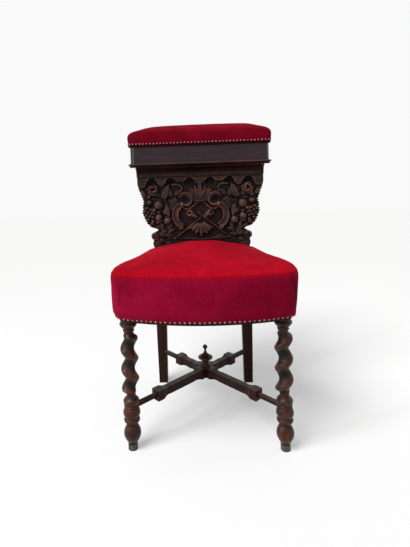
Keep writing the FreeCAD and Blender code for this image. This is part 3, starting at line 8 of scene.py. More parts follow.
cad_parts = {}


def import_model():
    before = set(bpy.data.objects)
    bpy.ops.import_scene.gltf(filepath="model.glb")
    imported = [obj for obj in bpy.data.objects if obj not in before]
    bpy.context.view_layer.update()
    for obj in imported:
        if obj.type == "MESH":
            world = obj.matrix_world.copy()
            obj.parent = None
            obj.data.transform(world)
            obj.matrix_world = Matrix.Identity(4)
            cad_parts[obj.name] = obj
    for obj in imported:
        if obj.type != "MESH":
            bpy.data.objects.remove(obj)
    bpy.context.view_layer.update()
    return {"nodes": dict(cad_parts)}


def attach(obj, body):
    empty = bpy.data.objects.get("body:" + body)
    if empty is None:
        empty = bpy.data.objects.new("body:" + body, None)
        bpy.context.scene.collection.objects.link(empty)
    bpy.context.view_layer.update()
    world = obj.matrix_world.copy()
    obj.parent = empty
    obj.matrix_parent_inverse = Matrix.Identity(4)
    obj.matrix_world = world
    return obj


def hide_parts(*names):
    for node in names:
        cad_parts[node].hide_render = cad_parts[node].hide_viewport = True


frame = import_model()

MM = 0.001
# The CAD measures depth from the front legs; the shared frame's origin is this far behind them
BACK = 157.6


# Materials

def feed(tree, node, inputs):
    """Links the inputs that are sockets and sets the others."""
    for key, value in inputs.items():
        if isinstance(value, bpy.types.NodeSocket):
            tree.links.new(value, node.inputs[key])
        else:
            node.inputs[key].default_value = value


def settle(item, **values):
    for name, value in values.items():
        setattr(item, name, value)
    return item


def put(tree, kind, inputs=None, **properties):
    node = settle(tree.nodes.new("ShaderNode" + kind), **properties)
    feed(tree, node, inputs or {})
    return node


def new_material(name):
    material = bpy.data.materials.new(name)
    material.use_nodes = True
    tree = material.node_tree
    tree.nodes.clear()
    shader = put(tree, "BsdfPrincipled")
    put(tree, "OutputMaterial", {0: shader.outputs[0]})
    return material, tree, shader


def coordinates(tree, scale):
    """The object's own coordinates, scaled by one number or by three."""
    place = put(tree, "TexCoord").outputs["Object"]
    scale = scale if isinstance(scale, tuple) else (scale, scale, scale)
    return put(tree, "Mapping", {0: place, "Scale": scale}).outputs[0]


def noise(tree, vector, scale, detail=4.0, rough=0.55, warp=0.0):
    inputs = {"Vector": vector, "Scale": scale, "Detail": detail, "Roughness": rough, "Distortion": warp}
    return put(tree, "TexNoise", inputs).outputs["Fac"]


def ramp(tree, fac, stops):
    node = put(tree, "ValToRGB", {0: fac})
    band = node.color_ramp
    while len(band.elements) < len(stops):
        band.elements.new(0.5)
    for element, (place, colour) in zip(band.elements, stops):
        element.position = place
        element.color = (*colour, 1)
    return node.outputs[0]


def blend_colour(tree, fac, first, second, way="MIX"):
    first, second = ((*value, 1) if isinstance(value, tuple) else value for value in (first, second))
    inputs = {0: fac, 6: first, 7: second}
    return put(tree, "Mix", inputs, data_type="RGBA", blend_type=way).outputs[2]


def times(tree, colour, shade):
    return blend_colour(tree, 1.0, colour, shade, "MULTIPLY")


def scaled(tree, value, low, high, from_low=0.0, from_high=1.0):
    inputs = {0: value, 1: from_low, 2: from_high, 3: low, 4: high}
    return put(tree, "MapRange", inputs).outputs[0]


def maths(tree, operation, first, second):
    return put(tree, "Math", {0: first, 1: second}, operation=operation).outputs[0]


def attribute(tree, name):
    return put(tree, "Attribute", attribute_name=name).outputs["Fac"]


def upright(tree, source):
    """The z of the surface's Normal, or of the place in the Object."""
    kind = "NewGeometry" if source == "Normal" else "TexCoord"
    return put(tree, "SeparateXYZ", {0: put(tree, kind).outputs[source]}).outputs[2]


def bump(tree, shader, height, strength, distance):
    inputs = {"Height": height, "Strength": strength, "Distance": distance}
    feed(tree, shader, {"Normal": put(tree, "Bump", inputs).outputs[0]})


def walnut(name, along, dark, mid, light, gloss=0.34, shine=0.2, toned=None, film=None):
    """Dark polished walnut with long grain and pores.

    toned: stops of a ramp over the mesh's own relief_tone, from hollows in painted shade to ridges with
    painted highlight and wear.
    film: a source, two heights in it and a colour laid over the wood; by the Normal it is dust and painted
    sheen on faces turned up, by the Object's height it is painted light on the part below, out of the shade
    of the box's rim.
    """
    material, tree, shader = new_material(name)
    squeeze = {"x": (3, 34, 34), "y": (34, 3, 34), "z": (34, 34, 3)}[along]
    grain = noise(tree, coordinates(tree, squeeze), 3.0, 8.0, 0.62, 0.9)
    broad = noise(tree, coordinates(tree, 7), 1.0, 3.0)
    pores = noise(tree, coordinates(tree, tuple(v * 9 for v in squeeze)), 2.2, 2.0, 0.6)
    smear = noise(tree, coordinates(tree, 16), 1.0, 4.0)
    pore_mask = scaled(tree, pores, 0.0, 1.0, 0.36, 0.5)
    colour = ramp(tree, grain, [(0.3, dark), (0.52, mid), (0.74, light)])
    colour = times(tree, colour, ramp(tree, broad, [(0.3, (0.55, 0.5, 0.5)), (0.7, (1.25, 1.18, 1.12))]))
    pore_colour = tuple(v * 0.35 for v in dark)
    colour = blend_colour(tree, scaled(tree, pore_mask, 0.4, 0.0), colour, pore_colour)
    rough = scaled(tree, smear, gloss - 0.07, gloss + 0.14)
    rough = maths(tree, "ADD", rough, scaled(tree, pore_mask, 0.12, 0.0))
    if film:
        source, bare, full, tint = film
        speckle = scaled(tree, noise(tree, coordinates(tree, 60), 1.0, 5.0), 0.35, 1.0, 0.35, 0.65)
        cover = scaled(tree, upright(tree, source), 0, 1, bare, full)
        colour = blend_colour(tree, maths(tree, "MULTIPLY", cover, speckle), colour, tint)
    if toned:
        patches = noise(tree, coordinates(tree, 24), 1.0, 3.0)
        worn = [(0.4, (0.86, 1.0, 1.14)), (0.56, (1, 1, 1)), (0.68, (1.75, 1.12, 0.62))]
        tone = attribute(tree, "relief_tone")
        colour = times(tree, colour, ramp(tree, patches, worn))
        # Painted shade in the hollows, painted highlight and wear on the ridges
        colour = times(tree, colour, ramp(tree, tone, toned))
        rough = maths(tree, "ADD", rough, scaled(tree, tone, 0.4, 0.0, 0.2, 0.6))
    feed(tree, shader, {"Base Color": colour, "Roughness": rough, "Specular IOR Level": shine})
    height = maths(tree, "ADD", scaled(tree, grain, 0.0, 0.5), scaled(tree, pore_mask, 0.0, 0.5))
    bump(tree, shader, height, 0.35, 0.0006)
    return material


def velvet(name, deep, full, bright, front):
    """Cotton velvet: fine pile and broad pressed patches, with painted shade that makes upright sides cooler
    and darker, and near-black painted shade where the mesh's marks call for it.
    """
    material, tree, shader = new_material(name)
    place = coordinates(tree, 1)
    patches = noise(tree, place, 9.0, 4.0, 0.6, 0.6)
    streaks = noise(tree, coordinates(tree, (26, 26, 9)), 1.0, 5.0, 0.6, 0.4)
    pile = noise(tree, place, 900.0, 2.0, 0.7)
    tufts = noise(tree, place, 320.0, 3.0, 0.6)
    # Painted shade: upright sides come out cooler and darker than the top, by the last colour given
    painted_side_shade = [(0.06, front), (0.42, (0.72, 0.7, 0.85)), (0.86, (1, 1, 1))]
    colour = ramp(tree, patches, [(0.3, deep), (0.5, full), (0.72, bright)])
    colour = blend_colour(tree, scaled(tree, streaks, 0.3, 0.0, 0.35, 0.6), colour, deep)
    colour = times(tree, colour, ramp(tree, upright(tree, "Normal"), painted_side_shade))
    colour = times(tree, colour, ramp(tree, tufts, [(0.3, (0.72, 0.7, 0.7)), (0.7, (1.22, 1.18, 1.18))]))
    # Near-black painted shade where the mesh's mark says: in folds, on a shaded side and along a hem
    colour = blend_colour(tree, attribute(tree, "painted_shade"), colour, (0.02, 0.002, 0.003))
    feed(tree, shader, {
        "Base Color": colour, "Roughness": 0.86, "Specular IOR Level": 0.04,
        "Sheen Weight": 0.1, "Sheen Roughness": 0.42, "Sheen Tint": (1.0, 0.12, 0.2, 1),
    })
    height = maths(tree, "ADD", scaled(tree, pile, 0.0, 0.6), scaled(tree, tufts, 0.0, 0.9))
    bump(tree, shader, height, 0.5, 0.0006)
    return material


def brass(name, bright, dull, rough):
    """Aged brass with brown tarnish in its hollows."""
    material, tree, shader = new_material(name)
    spots = noise(tree, coordinates(tree, 1), 240.0, 4.0, 0.6)
    colour = ramp(tree, spots, [(0.32, dull), (0.62, bright)])
    rough = scaled(tree, spots, rough + 0.2, rough)
    feed(tree, shader, {"Base Color": colour, "Metallic": 0.9, "Roughness": rough})
    bump(tree, shader, spots, 0.2, 0.0002)
    return material


def woven(name, first, second, pitch):
    """Plain weave of warp and weft threads with uneven colour."""
    material, tree, shader = new_material(name)
    place = coordinates(tree, 1)
    waves = []
    for direction in ("X", "Y"):
        inputs = {"Vector": place, "Scale": 0.314 / pitch, "Distortion": 0.6, "Detail": 1.0}
        waves.append(put(tree, "TexWave", inputs, bands_direction=direction).outputs["Fac"])
    weave = maths(tree, "MULTIPLY", waves[0], waves[1])
    gaps = tuple(v * 0.3 for v in first)
    colour = ramp(tree, noise(tree, place, 60.0, 5.0, 0.6), [(0.3, first), (0.7, second)])
    colour = blend_colour(tree, scaled(tree, weave, 0.6, 0.0, 0.0, 0.6), colour, gaps)
    feed(tree, shader, {"Base Color": colour, "Roughness": 0.92, "Specular IOR Level": 0.2})
    bump(tree, shader, weave, 0.6, pitch * 0.4)
    return material


# The grey film on faces turned up is dust and painted sheen
WOOD = {}
for axis in "xyz":
    WOOD[axis] = walnut(
        f"walnut_grain_{axis}", axis, (0.009, 0.0025, 0.0018), (0.026, 0.0074, 0.0042),
        (0.058, 0.0175, 0.009), shine=0.11, film=("Normal", 0.35, 0.9, (0.085, 0.07, 0.058)),
    )
BOX_WOOD = walnut(
    "walnut_box", "x", (0.011, 0.0035, 0.007), (0.026, 0.009, 0.0155), (0.05, 0.017, 0.024), 0.28, 0.3
)
# For the cornice, lid board and box floor: a darker copy of the walnut as painted shade under the box and its
# lid, with the cornice's lower band paler as painted light
SHADED_COVE_WOOD = walnut(
    "walnut_cove_shaded", "x", (0.006, 0.0024, 0.0016), (0.0135, 0.0048, 0.0027), (0.026, 0.0098, 0.0052),
    0.42, 0.08, film=("Object", 0.7165, 0.7115, (0.05, 0.033, 0.024)),
)
# Ramps over relief_tone: painted shade in grooves and hollows, painted highlight on bulges and ridges
TURNED_TONES = (
    (0.0, (0.08, 0.07, 0.07)), (0.13, (0.45, 0.4, 0.42)),
    (0.32, (0.95, 0.92, 0.95)), (0.85, (1.9, 1.8, 1.6)),
)
CARVED_TONES = (
    (0.12, (0.015, 0.015, 0.02)), (0.34, (0.36, 0.34, 0.36)),
    (0.56, (1.25, 1.2, 1.18)), (0.9, (3.6, 3.3, 3.1)),
)
TURNED_WOOD = walnut(
    "walnut_turned", "z", (0.012, 0.0038, 0.0022), (0.034, 0.0108, 0.0048), (0.078, 0.026, 0.0095),
    0.15, toned=TURNED_TONES,
)
CARVED_WOOD = walnut(
    "walnut_carved", "x", (0.014, 0.0072, 0.006), (0.035, 0.0182, 0.0142), (0.072, 0.038, 0.0285),
    0.26, 0.16, CARVED_TONES,
)
# Paler walnut for edges worn by rubbing, and as a painted highlight on the lit top and front of the box's rim
RUBBED_AND_HIGHLIT_WOOD = walnut(
    "walnut_rubbed_and_highlit", "x", (0.04, 0.018, 0.012), (0.09, 0.043, 0.028), (0.17, 0.088, 0.058), 0.3
)
RAW_WOOD = walnut("old_pine", "y", (0.2, 0.11, 0.05), (0.3, 0.17, 0.08), (0.38, 0.23, 0.12), 0.6)
FOOT_WORN = walnut(
    "walnut_worn_foot", "z", (0.05, 0.04, 0.035), (0.1, 0.085, 0.075), (0.17, 0.145, 0.13), 0.55
)
# The last colour of each velvet is its painted side shade, a cooler, darker tint for upright sides
SEAT_VELVET = velvet(
    "red_velvet", (0.3, 0.001, 0.008), (0.41, 0.0015, 0.012), (0.5, 0.003, 0.018), (0.63, 1.35, 2.0)
)
LID_VELVET = velvet(
    "red_velvet_lid", (0.14, 0.001, 0.007), (0.2, 0.0015, 0.01), (0.27, 0.003, 0.014), (0.86, 1.0, 1.3)
)
NAIL_BRASS = brass("nail_brass", (0.4, 0.255, 0.2), (0.09, 0.05, 0.04), 0.3)
HINGE_BRASS = brass("hinge_brass", (0.6, 0.42, 0.18), (0.2, 0.12, 0.05), 0.32)
HESSIAN = woven("hessian", (0.3, 0.2, 0.1), (0.46, 0.34, 0.2), 0.0016)
WEBBING = woven("webbing", (0.34, 0.26, 0.16), (0.56, 0.46, 0.32), 0.0022)


# Mesh helpers

def place_object(name, data):
    item = bpy.data.objects.new(name, data)
    bpy.context.collection.objects.link(item)
    return item


def mesh_piece(name, points, faces, material):
    """A smooth-shaded piece whose faces all turn outward."""
    mesh = bpy.data.meshes.new(name)
    mesh.from_pydata([tuple(point) for point in points], [], faces)
    mesh.validate()
    mesh.materials.append(material)
    shade_smooth(mesh)
    form = bmesh.new()
    form.from_mesh(mesh)
    bmesh.ops.recalc_face_normals(form, faces=form.faces)
    form.to_mesh(mesh)
    form.free()
    return place_object(name, mesh)


def shade_smooth(mesh):
    mesh.polygons.foreach_set("use_smooth", [True] * len(mesh.polygons))


def smooth_by_angle(piece, degrees):
    mesh = piece.data
    shade_smooth(mesh)
    form = bmesh.new()
    form.from_mesh(mesh)
    limit = math.radians(degrees)
    for edge in form.edges:
        edge.smooth = len(edge.link_faces) == 2 and edge.calc_face_angle(0) < limit
    form.to_mesh(mesh)
    form.free()


def grid_faces(index):
    """Quads between the neighbours in an array of point numbers."""
    quads = np.stack([index[:-1, :-1], index[:-1, 1:], index[1:, 1:], index[1:, :-1]], 2)
    return quads.reshape(-1, 4).tolist()


def band_faces(rows, around):
    """Quads between consecutive rings of points."""
    index = np.arange(rows * around).reshape(rows, around)
    return grid_faces(np.column_stack([index, index[:, 0]]))


def capped_faces(rows, around):
    """Quads between rings, with the first and last ring shut."""
    faces = band_faces(rows, around)
    faces.append(tuple(reversed(range(around))))
    faces.append(tuple(range((rows - 1) * around, rows * around)))
    return faces


def bevel(piece, width, rubbed=True):
    """Rounds the edges; rubbed ones are of paler wood."""
    step = piece.modifiers.new("edge", "BEVEL")
    settle(step, width=width, segments=2, harden_normals=False)
    settle(step, limit_method="ANGLE", angle_limit=math.radians(35))
    if rubbed:
        piece.data.materials.append(RUBBED_AND_HIGHLIT_WOOD)
        step.material = len(piece.data.materials) - 1


def noise_field(points, scale, seed):
    """Smooth repeatable noise from a few sine waves, about -1 to 1."""
    random = np.random.default_rng(seed)
    total = np.zeros(len(points))
    for octave in range(4):
        way = random.normal(size=(5, 3))
        way /= np.linalg.norm(way, axis=1)[:, None]
        phase = random.uniform(0, 6.28, 5)
        rate = scale * 1.7**octave
        total += np.sin(points @ way.T * rate + phase).sum(axis=1) / 5 * 0.62**octave
    return total


def mark(piece, name, values):
    """Gives each point of the mesh a value that its material reads."""
    layer = piece.data.attributes.new(name, "FLOAT", "POINT")
    layer.data.foreach_set("value", values.astype(np.float32))


def finish_piece(piece, body, nodes=()):
    if nodes:
        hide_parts(*nodes)
    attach(piece, body)


# Turned parts, in mm

LEG_X = 197.5
RAIL_BOTTOM = 347.1
WORN_FOOT = 16
# The twist: where it starts and ends, its core's and its strand's radius, how far the strand stands off
TWIST_LOW, TWIST_HIGH, TWIST_FADE = 150, 312, 12
TWIST_CORE, TWIST_STRAND, TWIST_SHIFT, TWIST_PITCH = 12.1, 17.9, 5.4, 53
# Stops of height, radius and kind of run up to the next stop:
# 0 an S curve, 1 straight, 2 fast then slow (a round shoulder), 3 slow then fast
LEG_BELOW = (
    (0, 11.6, 2), (1.2, 12.6, 1), (19, 12.3, 1), (20, 11.6, 1), (21.5, 13.5, 2), (45, 22.5, 3),
    (67, 14.6, 0), (70, 13.7, 1), (72.6, 13.6, 1), (73, 17.2, 2), (80.5, 21, 3), (87.4, 17.4, 1),
    (88.4, 18.6, 2), (99.5, 22.5, 3), (111, 19.4, 1), (112.4, 19.0, 3), (114.6, 16.4, 2), (117.6, 19.5, 1),
    (118.8, 19.5, 3), (121.2, 16.5, 2), (124, 19.6, 1), (125.2, 19.8, 2), (131.5, 20.8, 3),
    (141.7, 12.4, 1), (146, 12.1, 1), (150, 12.1, 1),
)
LEG_ABOVE = (
    (312, 12.1, 1), (315, 12.6, 1), (316, 14.2, 2), (318.4, 15.2, 3), (320, 13.6, 1), (321, 13.4, 0),
    (330.6, 20.4, 1), (331, 20.9, 2), (335.4, 23, 3), (339.8, 20.9, 1), (340.2, 19.4, 1), (347.2, 19.4, 1),
)
FINIAL = (
    (126.9, 13.2, 2), (128.2, 13.5, 1), (130, 13.5, 3), (132, 12.3, 2), (134, 13.3, 1), (135, 13.3, 3),
    (136.2, 9.0, 1), (139.6, 9.0, 3), (150.4, 19.6, 1), (152.2, 21.6, 1), (153.4, 22, 1), (155, 22, 1),
    (156, 21.0, 3), (158.5, 15.5, 1), (159.5, 15.0, 2), (170, 5.0, 1), (171, 3.6, 1), (178.4, 2.7, 1),
    (178.8, 3.9, 1), (179.6, 3.9, 1), (179.8, 4.0, 2), (185.6, 7.4, 3), (191, 4.2, 2), (193, 1.2, 1),
)
CROSSING_Y = 196.27
EASED = (
    lambda share: (1 - math.cos(math.pi * share)) / 2,
    lambda share: share,
    lambda share: math.sin(math.pi / 2 * share),
    lambda share: 1 - math.cos(math.pi / 2 * share),
)


def smooth_profile(stops, step=1.0):
    heights, radii = [], []
    for (low, first, kind), (high, second, _) in zip(stops, stops[1:]):
        count = max(1, int(abs(high - low) / step))
        for index in range(count):
            share = index / count
            heights.append(low + (high - low) * share)
            radii.append(first + (second - first) * EASED[kind](share))
    heights.append(stops[-1][0])
    radii.append(stops[-1][1])
    return np.array(heights), np.array(radii)


def turned_tone(x, y, heights):
    """Bulges of turning stand out of their surroundings, grooves lie in them; x and y are from the axis."""
    away = np.hypot(x, y)
    reach = np.abs(heights[:, None] - heights[None, :])
    share = np.exp(-((reach / 7.0) ** 2))
    mean = share @ away.mean(axis=1) / share.sum(axis=1)
    return np.clip(0.5 + (away - mean[:, None]) / 11, 0, 1).ravel()


def turning(name, heights, radii, axis, around, shift=(0, 0), uneven=0):
    """A closed turning on an upright axis; shift moves its rings off the axis, uneven is wear in metres."""
    turn = np.linspace(0, 2 * math.pi, around, endpoint=False)
    x = radii[:, None] * np.cos(turn) + np.reshape(shift[0], (-1, 1))
    y = radii[:, None] * np.sin(turn) + np.reshape(shift[1], (-1, 1))
    z = np.repeat(heights[:, None], around, 1)
    points = np.stack([x + axis[0], y + axis[1], z], 2).reshape(-1, 3) * MM
    points += noise_field(points, 90, 3)[:, None] * uneven * np.array([1, 1, 0])
    piece = mesh_piece(name, points, capped_faces(len(heights), around), TURNED_WOOD)
    # The tone gives painted shade in the grooves and a painted highlight on the bulges
    mark(piece, "relief_tone", turned_tone(x, y, heights))
    return piece


def front_leg(side, sign, hand, start_height):
    """The turned and twisted leg; hand is the way it winds, from the strand's place at start_height."""
    below_z, below_r = smooth_profile(LEG_BELOW)
    above_z, above_r = smooth_profile(LEG_ABOVE)
    twist_z = np.arange(TWIST_LOW + 0.8, TWIST_HIGH, 0.9)
    fade = np.clip(np.minimum(twist_z - TWIST_LOW, TWIST_HIGH - twist_z) / TWIST_FADE, 0, 1)
    fade = fade * fade * (3 - 2 * fade)
    heights = np.concatenate([below_z, twist_z, above_z])
    radii = np.concatenate([below_r, TWIST_CORE + fade * (TWIST_STRAND - TWIST_CORE), above_r])
    shift = np.concatenate([below_z * 0, TWIST_SHIFT * fade, above_z * 0])
    angle = math.pi + hand * 2 * math.pi * (heights - start_height) / TWIST_PITCH
    shift = (shift * np.cos(angle), shift * np.sin(angle))
    leg = turning(f"leg_turning_{side}", heights, radii, (sign * LEG_X, -BACK), 72, shift, 0.00012)
    leg.data.materials.append(FOOT_WORN)
    for face in leg.data.polygons:
        if face.center.z < WORN_FOOT * MM:
            face.material_index = 1
    # The square block above comes from the construction's own leg, cut level with the rail's bottom
    form = bmesh.new()
    form.from_mesh(frame["nodes"][f"front_leg_{side}"].data)
    everything = form.verts[:] + form.edges[:] + form.faces[:]
    level = Vector((0, 0, RAIL_BOTTOM * MM))
    bmesh.ops.bisect_plane(form, geom=everything, plane_co=level, plane_no=(0, 0, 1), clear_inner=True)
    mesh = bpy.data.meshes.new(f"leg_block_{side}")
    form.to_mesh(mesh)
    form.free()
    mesh.materials.clear()
    mesh.materials.append(WOOD["z"])
    block = place_object(f"leg_block_{side}", mesh)
    smooth_by_angle(block, 30)
    bevel(block, 0.0007)
    for piece in (leg, block):
        finish_piece(piece, "frame", [f"front_leg_{side}"])


def finial():
    heights, radii = smooth_profile(FINIAL, 0.6)
    piece = turning("crossing_finial", heights, radii, (0, CROSSING_Y - BACK), 56)
    finish_piece(piece, "frame", ["stretcher_finial"])


# Upholstery, in mm

# The seat frame: half its width at the front and the rear, its front corners, bow and rear edge
FRAME_HALF, FRAME_REAR_HALF, FRONT_LINE, BOW, SEAT_REAR = 221.5, 163.0, -15.4, 40.6, 284.7
SIDE_SLOPE = (443 - 317) / 2 / (307 + 15.4)
# The old cover has crept to the left: less so above these heights
CREEP, CREEP_HEIGHTS, CREEP_SHARES = 2.2, (400, 455), (1, 0.25)
# Levels of the cushion's hollow underside, its hem, its crown and the swell above that
SEAT_UNDER, SEAT_LINING, SEAT_HEM, SEAT_CROWN, SEAT_SWELL = 415.9, (385, 354), 352.2, 503.6, 1.6
# Height of each level of the cushion's sides and how far it stands out from the frame
SEAT_SIDES = (
    (353.2, 5.0), (356.5, 8.6), (361, 12.6), (367, 15.4), (376, 17.2), (392, 18.2), (412, 19.4),
    (432, 20.5), (450, 21.6), (462, 21.4), (470, 19.6),
)
# The cushion's top: height, how far the side and the front have moved in, share of the front's bow,
# share of the rear edge's width, how far that edge has moved forward, and corner rounding
SEAT_TOP = (
    (474.5, 1.0, 4.6, 1.0, 0.92, 0, 38), (480.5, 3.4, 22, 0.97, 0.78, 0, 42),
    (485.5, 18, 50, 0.93, 0.60, 0, 48), (490.0, 56, 86, 0.86, 0.43, 0, 54),
    (495.2, 116, 140, 0.7, 0.26, 0, 56), (500, 176, 196, 0.5, 0.12, 26, 34),
    (SEAT_CROWN, 214, 244, 0.3, 0.06, 58, 12),
)
SEAT_STEPS = (2, 3, 4, 5, 7, 8, 8, 7, 5, 4, 3, 4, 6, 8, 8, 7, 6)
# The box: half its width, its front and its rear
BOX_HALF, BOX_FRONT, BOX_REAR = 217, 258, 385
# The lid's pad: height, how far it stands out from the box, and corner rounding
PAD_SIDES = (
    (800.4, 5.0, 16), (804, 5.8, 16), (816, 7.4, 17), (827, 8.0, 18), (836, 7.4, 20), (842.5, 5.0, 22),
    (848.6, 0.2, 25), (853.6, -7.5, 28), (857.4, -18, 30),
)
PAD_STEPS = (3, 4, 5, 5, 5, 5, 5, 5)
# Levels of the lid board's top and underside and of the pad's lower edge
BOARD_TOP, BOARD_UNDER, PAD_EDGE = 816.8, 800.8, 799.8
# The pad's crown closes on a ridge and sinks to its ends; its hem stays above the hinges at the rear
PAD_CROWN, RIDGE_HALF, END_SINK, REAR_HEM, REAR_FROM = 868.4, 138.0, 5.0, 802.8, 380
# Folds at the corners: lowest and highest point, the columns they run between, width and depth
SEAT_FOLDS = (
    (360, 462, -34, -39, 4.6, 4.8), (396, 442, -28, -28, 3.4, 2.6), (364, 404, -37, -42, 3.6, 2.4),
    (366, 458, 38, 30, 4.8, 4.6), (372, 420, 33, 32, 3.2, 1.8), (362, 436, 42, 41, 4.2, 2.8),
)
PAD_FOLDS = (
    (806, 846, -50, -51, 2.6, 1.8), (806, 832, -56, -57, 2.4, 1.2),
    (806, 846, 50, 51, 2.6, 1.8), (806, 832, 56, 57, 2.4, 1.2),
)
# Spacing of the dome-headed nails
NAIL_STEP, LID_NAIL_STEP = 12.0, 10.8


def corner_points(corner, back_way, on_way, rounding, count):
    half = back_way.angle(on_way) / 2
    reach = rounding / math.tan(half)
    centre = corner + (back_way + on_way).normalized() * (rounding / math.sin(half))
    first = corner + back_way * reach - centre
    sweep = first.angle_signed(corner + on_way * reach - centre)
    return [centre + Matrix.Rotation(-sweep * index / count, 2) @ first for index in range(count + 1)]


# Points of a plan ring along its bow, a front corner, a side, a rear corner and the rear
SEAT_COUNTS, BOX_COUNTS = (56, 14, 44, 6, 40), (90, 12, 30, 12, 90)


def plan_ring(front_half, corner_y, bow, rear_half, rear_y, rounding, rear_rounding, counts=SEAT_COUNTS):
    """Plan points from the middle of the front round to the right, in the leg-line frame."""
    bow_count, front_count, side_count, rear_corner_count, rear_count = counts
    front = Vector((front_half, corner_y))
    rear = Vector((rear_half, rear_y))
    slope = 2 * math.atan(bow / front_half)
    along_front = Vector((-math.cos(slope), -math.sin(slope)))
    along_side = (rear - front).normalized()
    front_arc = corner_points(front, along_front, along_side, rounding, front_count)
    rear_arc = corner_points(rear, -along_side, Vector((-1, 0)), rear_rounding, rear_corner_count)
    right = []
    start = front_arc[0]
    middle_y = corner_y - bow
    if bow:
        rise = start.y - middle_y
        radius = (start.x**2 + rise**2) / (2 * rise)
        full = math.asin(min(1, start.x / radius))
    for index in range(bow_count // 2):
        share = index / (bow_count // 2)
        if bow:
            turn = full * share
            right.append(Vector((radius * math.sin(turn), middle_y + radius * (1 - math.cos(turn)))))
        else:
            right.append(Vector((start.x * share, start.y)))
    right += front_arc
    right += [front_arc[-1].lerp(rear_arc[0], index / side_count) for index in range(1, side_count)]
    right += rear_arc
    rear_middle = Vector((0, rear_y))
    half_count = rear_count // 2
    right += [rear_arc[-1].lerp(rear_middle, index / half_count) for index in range(1, half_count + 1)]
    left = [Vector((-p.x, p.y)) for p in right[-2:0:-1]]
    return np.array([tuple(p) for p in right + left])


def seat_ring(outset):
    """The plan of the cushion where it stands outset from the frame, a little less at the rear."""
    half = FRAME_HALF + outset
    rear_half = FRAME_REAR_HALF + min(outset, 5)
    return plan_ring(half, FRONT_LINE - outset, BOW, rear_half, SEAT_REAR, max(20 + outset, 4), 4.0)


def box_ring(outset, rounding, rear_outset=None, rear_rounding=3.0):
    rear = outset if rear_outset is None else rear_outset
    half = BOX_HALF + outset
    return plan_ring(half, BOX_FRONT - outset, 0, half, BOX_REAR + rear, rounding, rear_rounding, BOX_COUNTS)


def level_ring(ring, height, share=1.0):
    """A plan ring at one height, shrunk to a share of its size."""
    centre = ring.mean(axis=0)
    return np.column_stack([centre + (ring - centre) * share, np.full(len(ring), height)])


def spline_rows(rows, heights, counts):
    """Catmull-Rom between rings of points with their heights, with a number of steps for each gap."""
    rings = [level_ring(row, height) for row, height in zip(rows, heights)]
    result = []
    for index, count in enumerate(counts):
        before = rings[max(index - 1, 0)]
        first = rings[index]
        second = rings[index + 1]
        after = rings[min(index + 2, len(rings) - 1)]
        for step in range(count):
            t = step / count
            line = 2 * first + (second - before) * t
            bend = (2 * before - 5 * first + 4 * second - after) * t**2
            result.append(0.5 * (line + bend + (3 * first - before - 3 * second + after) * t**3))
    result.append(rings[-1])
    return result


def closed_rows(rows, name, material):
    """A closed mesh from rings, with its first and last rings shut by a middle point."""
    around = len(rows[0])
    points = np.vstack([*rows, rows[0].mean(axis=0), rows[-1].mean(axis=0)])
    faces = band_faces(len(rows), around)
    low = len(points) - 2
    high = len(points) - 1
    start = (len(rows) - 1) * around
    for index in range(around):
        after = (index + 1) % around
        faces.append((low, after, index))
        faces.append((high, start + index, start + after))
    points = points * MM
    points[:, 1] -= BACK * MM
    return mesh_piece(name, points, faces, material)


def point_values(piece, what):
    values = np.empty(len(piece.data.vertices) * 3)
    piece.data.vertices.foreach_get(what, values)
    return values.reshape(-1, 3)


def push_in(piece, moves):
    """Moves each point along its normal by an amount in metres."""
    piece.data.update()
    places = point_values(piece, "co") + point_values(piece, "normal") * moves[:, None]
    piece.data.vertices.foreach_set("co", places.ravel())
    piece.data.update()


def along_path(points, path):
    """Distance of each point from a broken line, and how far along the line it lies, 0 to 1."""
    nearest = np.full(points.shape[:-1], 1e9)
    along = np.zeros(points.shape[:-1])
    count = len(path) - 1
    for index in range(count):
        a = np.array(path[index])
        way = np.array(path[index + 1]) - a
        share = np.clip(((points - a) @ way) / (way @ way), 0, 1)
        away = np.linalg.norm(points - (a + share[..., None] * way), axis=-1)
        along = np.where(away < nearest, (index + share) / count, along)
        nearest = np.minimum(away, nearest)
    return nearest, along


def crease(points, path, width, depth):
    """A crease along a broken line of points: how far each point moves, in metres."""
    nearest, along = along_path(points, np.array(path) * MM)
    ends = np.sin(np.pi * np.clip(along * 0.8 + 0.1, 0, 1)) ** 0.6
    return -depth * MM * ends * np.exp(-((nearest / (width * MM)) ** 2))


def fold_moves(places, rows, table):
    """Folds that climb over the cover from one column of points to another."""
    total = np.zeros(len(places))
    for low, high, start, stop, width, depth in table:
        path = []
        for step in range(7):
            share = step / 6
            height = low + (high - low) * share
            row = min(rows, key=lambda ring: abs(ring[:, 2].mean() - height))
            place = row[round(start + (stop - start) * share) % len(row)]
            path.append((place[0], place[1] - BACK, place[2]))
        total += crease(places, path, width, depth)
    return total


def puckers(places, start, around, height, reach, spacing, depth):
    """How far the nails draw the cover in, in metres; start is the first point of the ring they follow."""
    ring = places[start : start + around + 1, :2]
    run = np.concatenate([[0], np.cumsum(np.linalg.norm(np.diff(ring, axis=0), axis=1))])[:around]
    along = np.tile(run, len(places) // around + 1)[: len(places)]
    near = np.exp(-(((places[:, 2] - height * MM) / (reach * MM)) ** 2))
    return near * depth * (0.5 + 0.5 * np.cos(along / (spacing * MM) * 2 * np.pi))


def rising(values, start, reach):
    """0 below start, 1 above start and reach."""
    return np.clip((values - start) / reach, 0, 1)


def cushion(name, material, rows, first_outer, waves, pucker, table):
    """The closed cover: the piece, its places, which of them are outside, their moves and their folds."""
    piece = closed_rows(rows, name, material)
    around = len(rows[0])
    places = point_values(piece, "co")
    outside = np.zeros(len(places))
    outside[first_outer * around : len(rows) * around] = 1
    moves = sum(noise_field(places, rate, seed) * size for rate, seed, size in waves)
    moves -= puckers(places, first_outer * around, around, *pucker)
    return piece, places, outside, moves, fold_moves(places, rows[first_outer:], table)


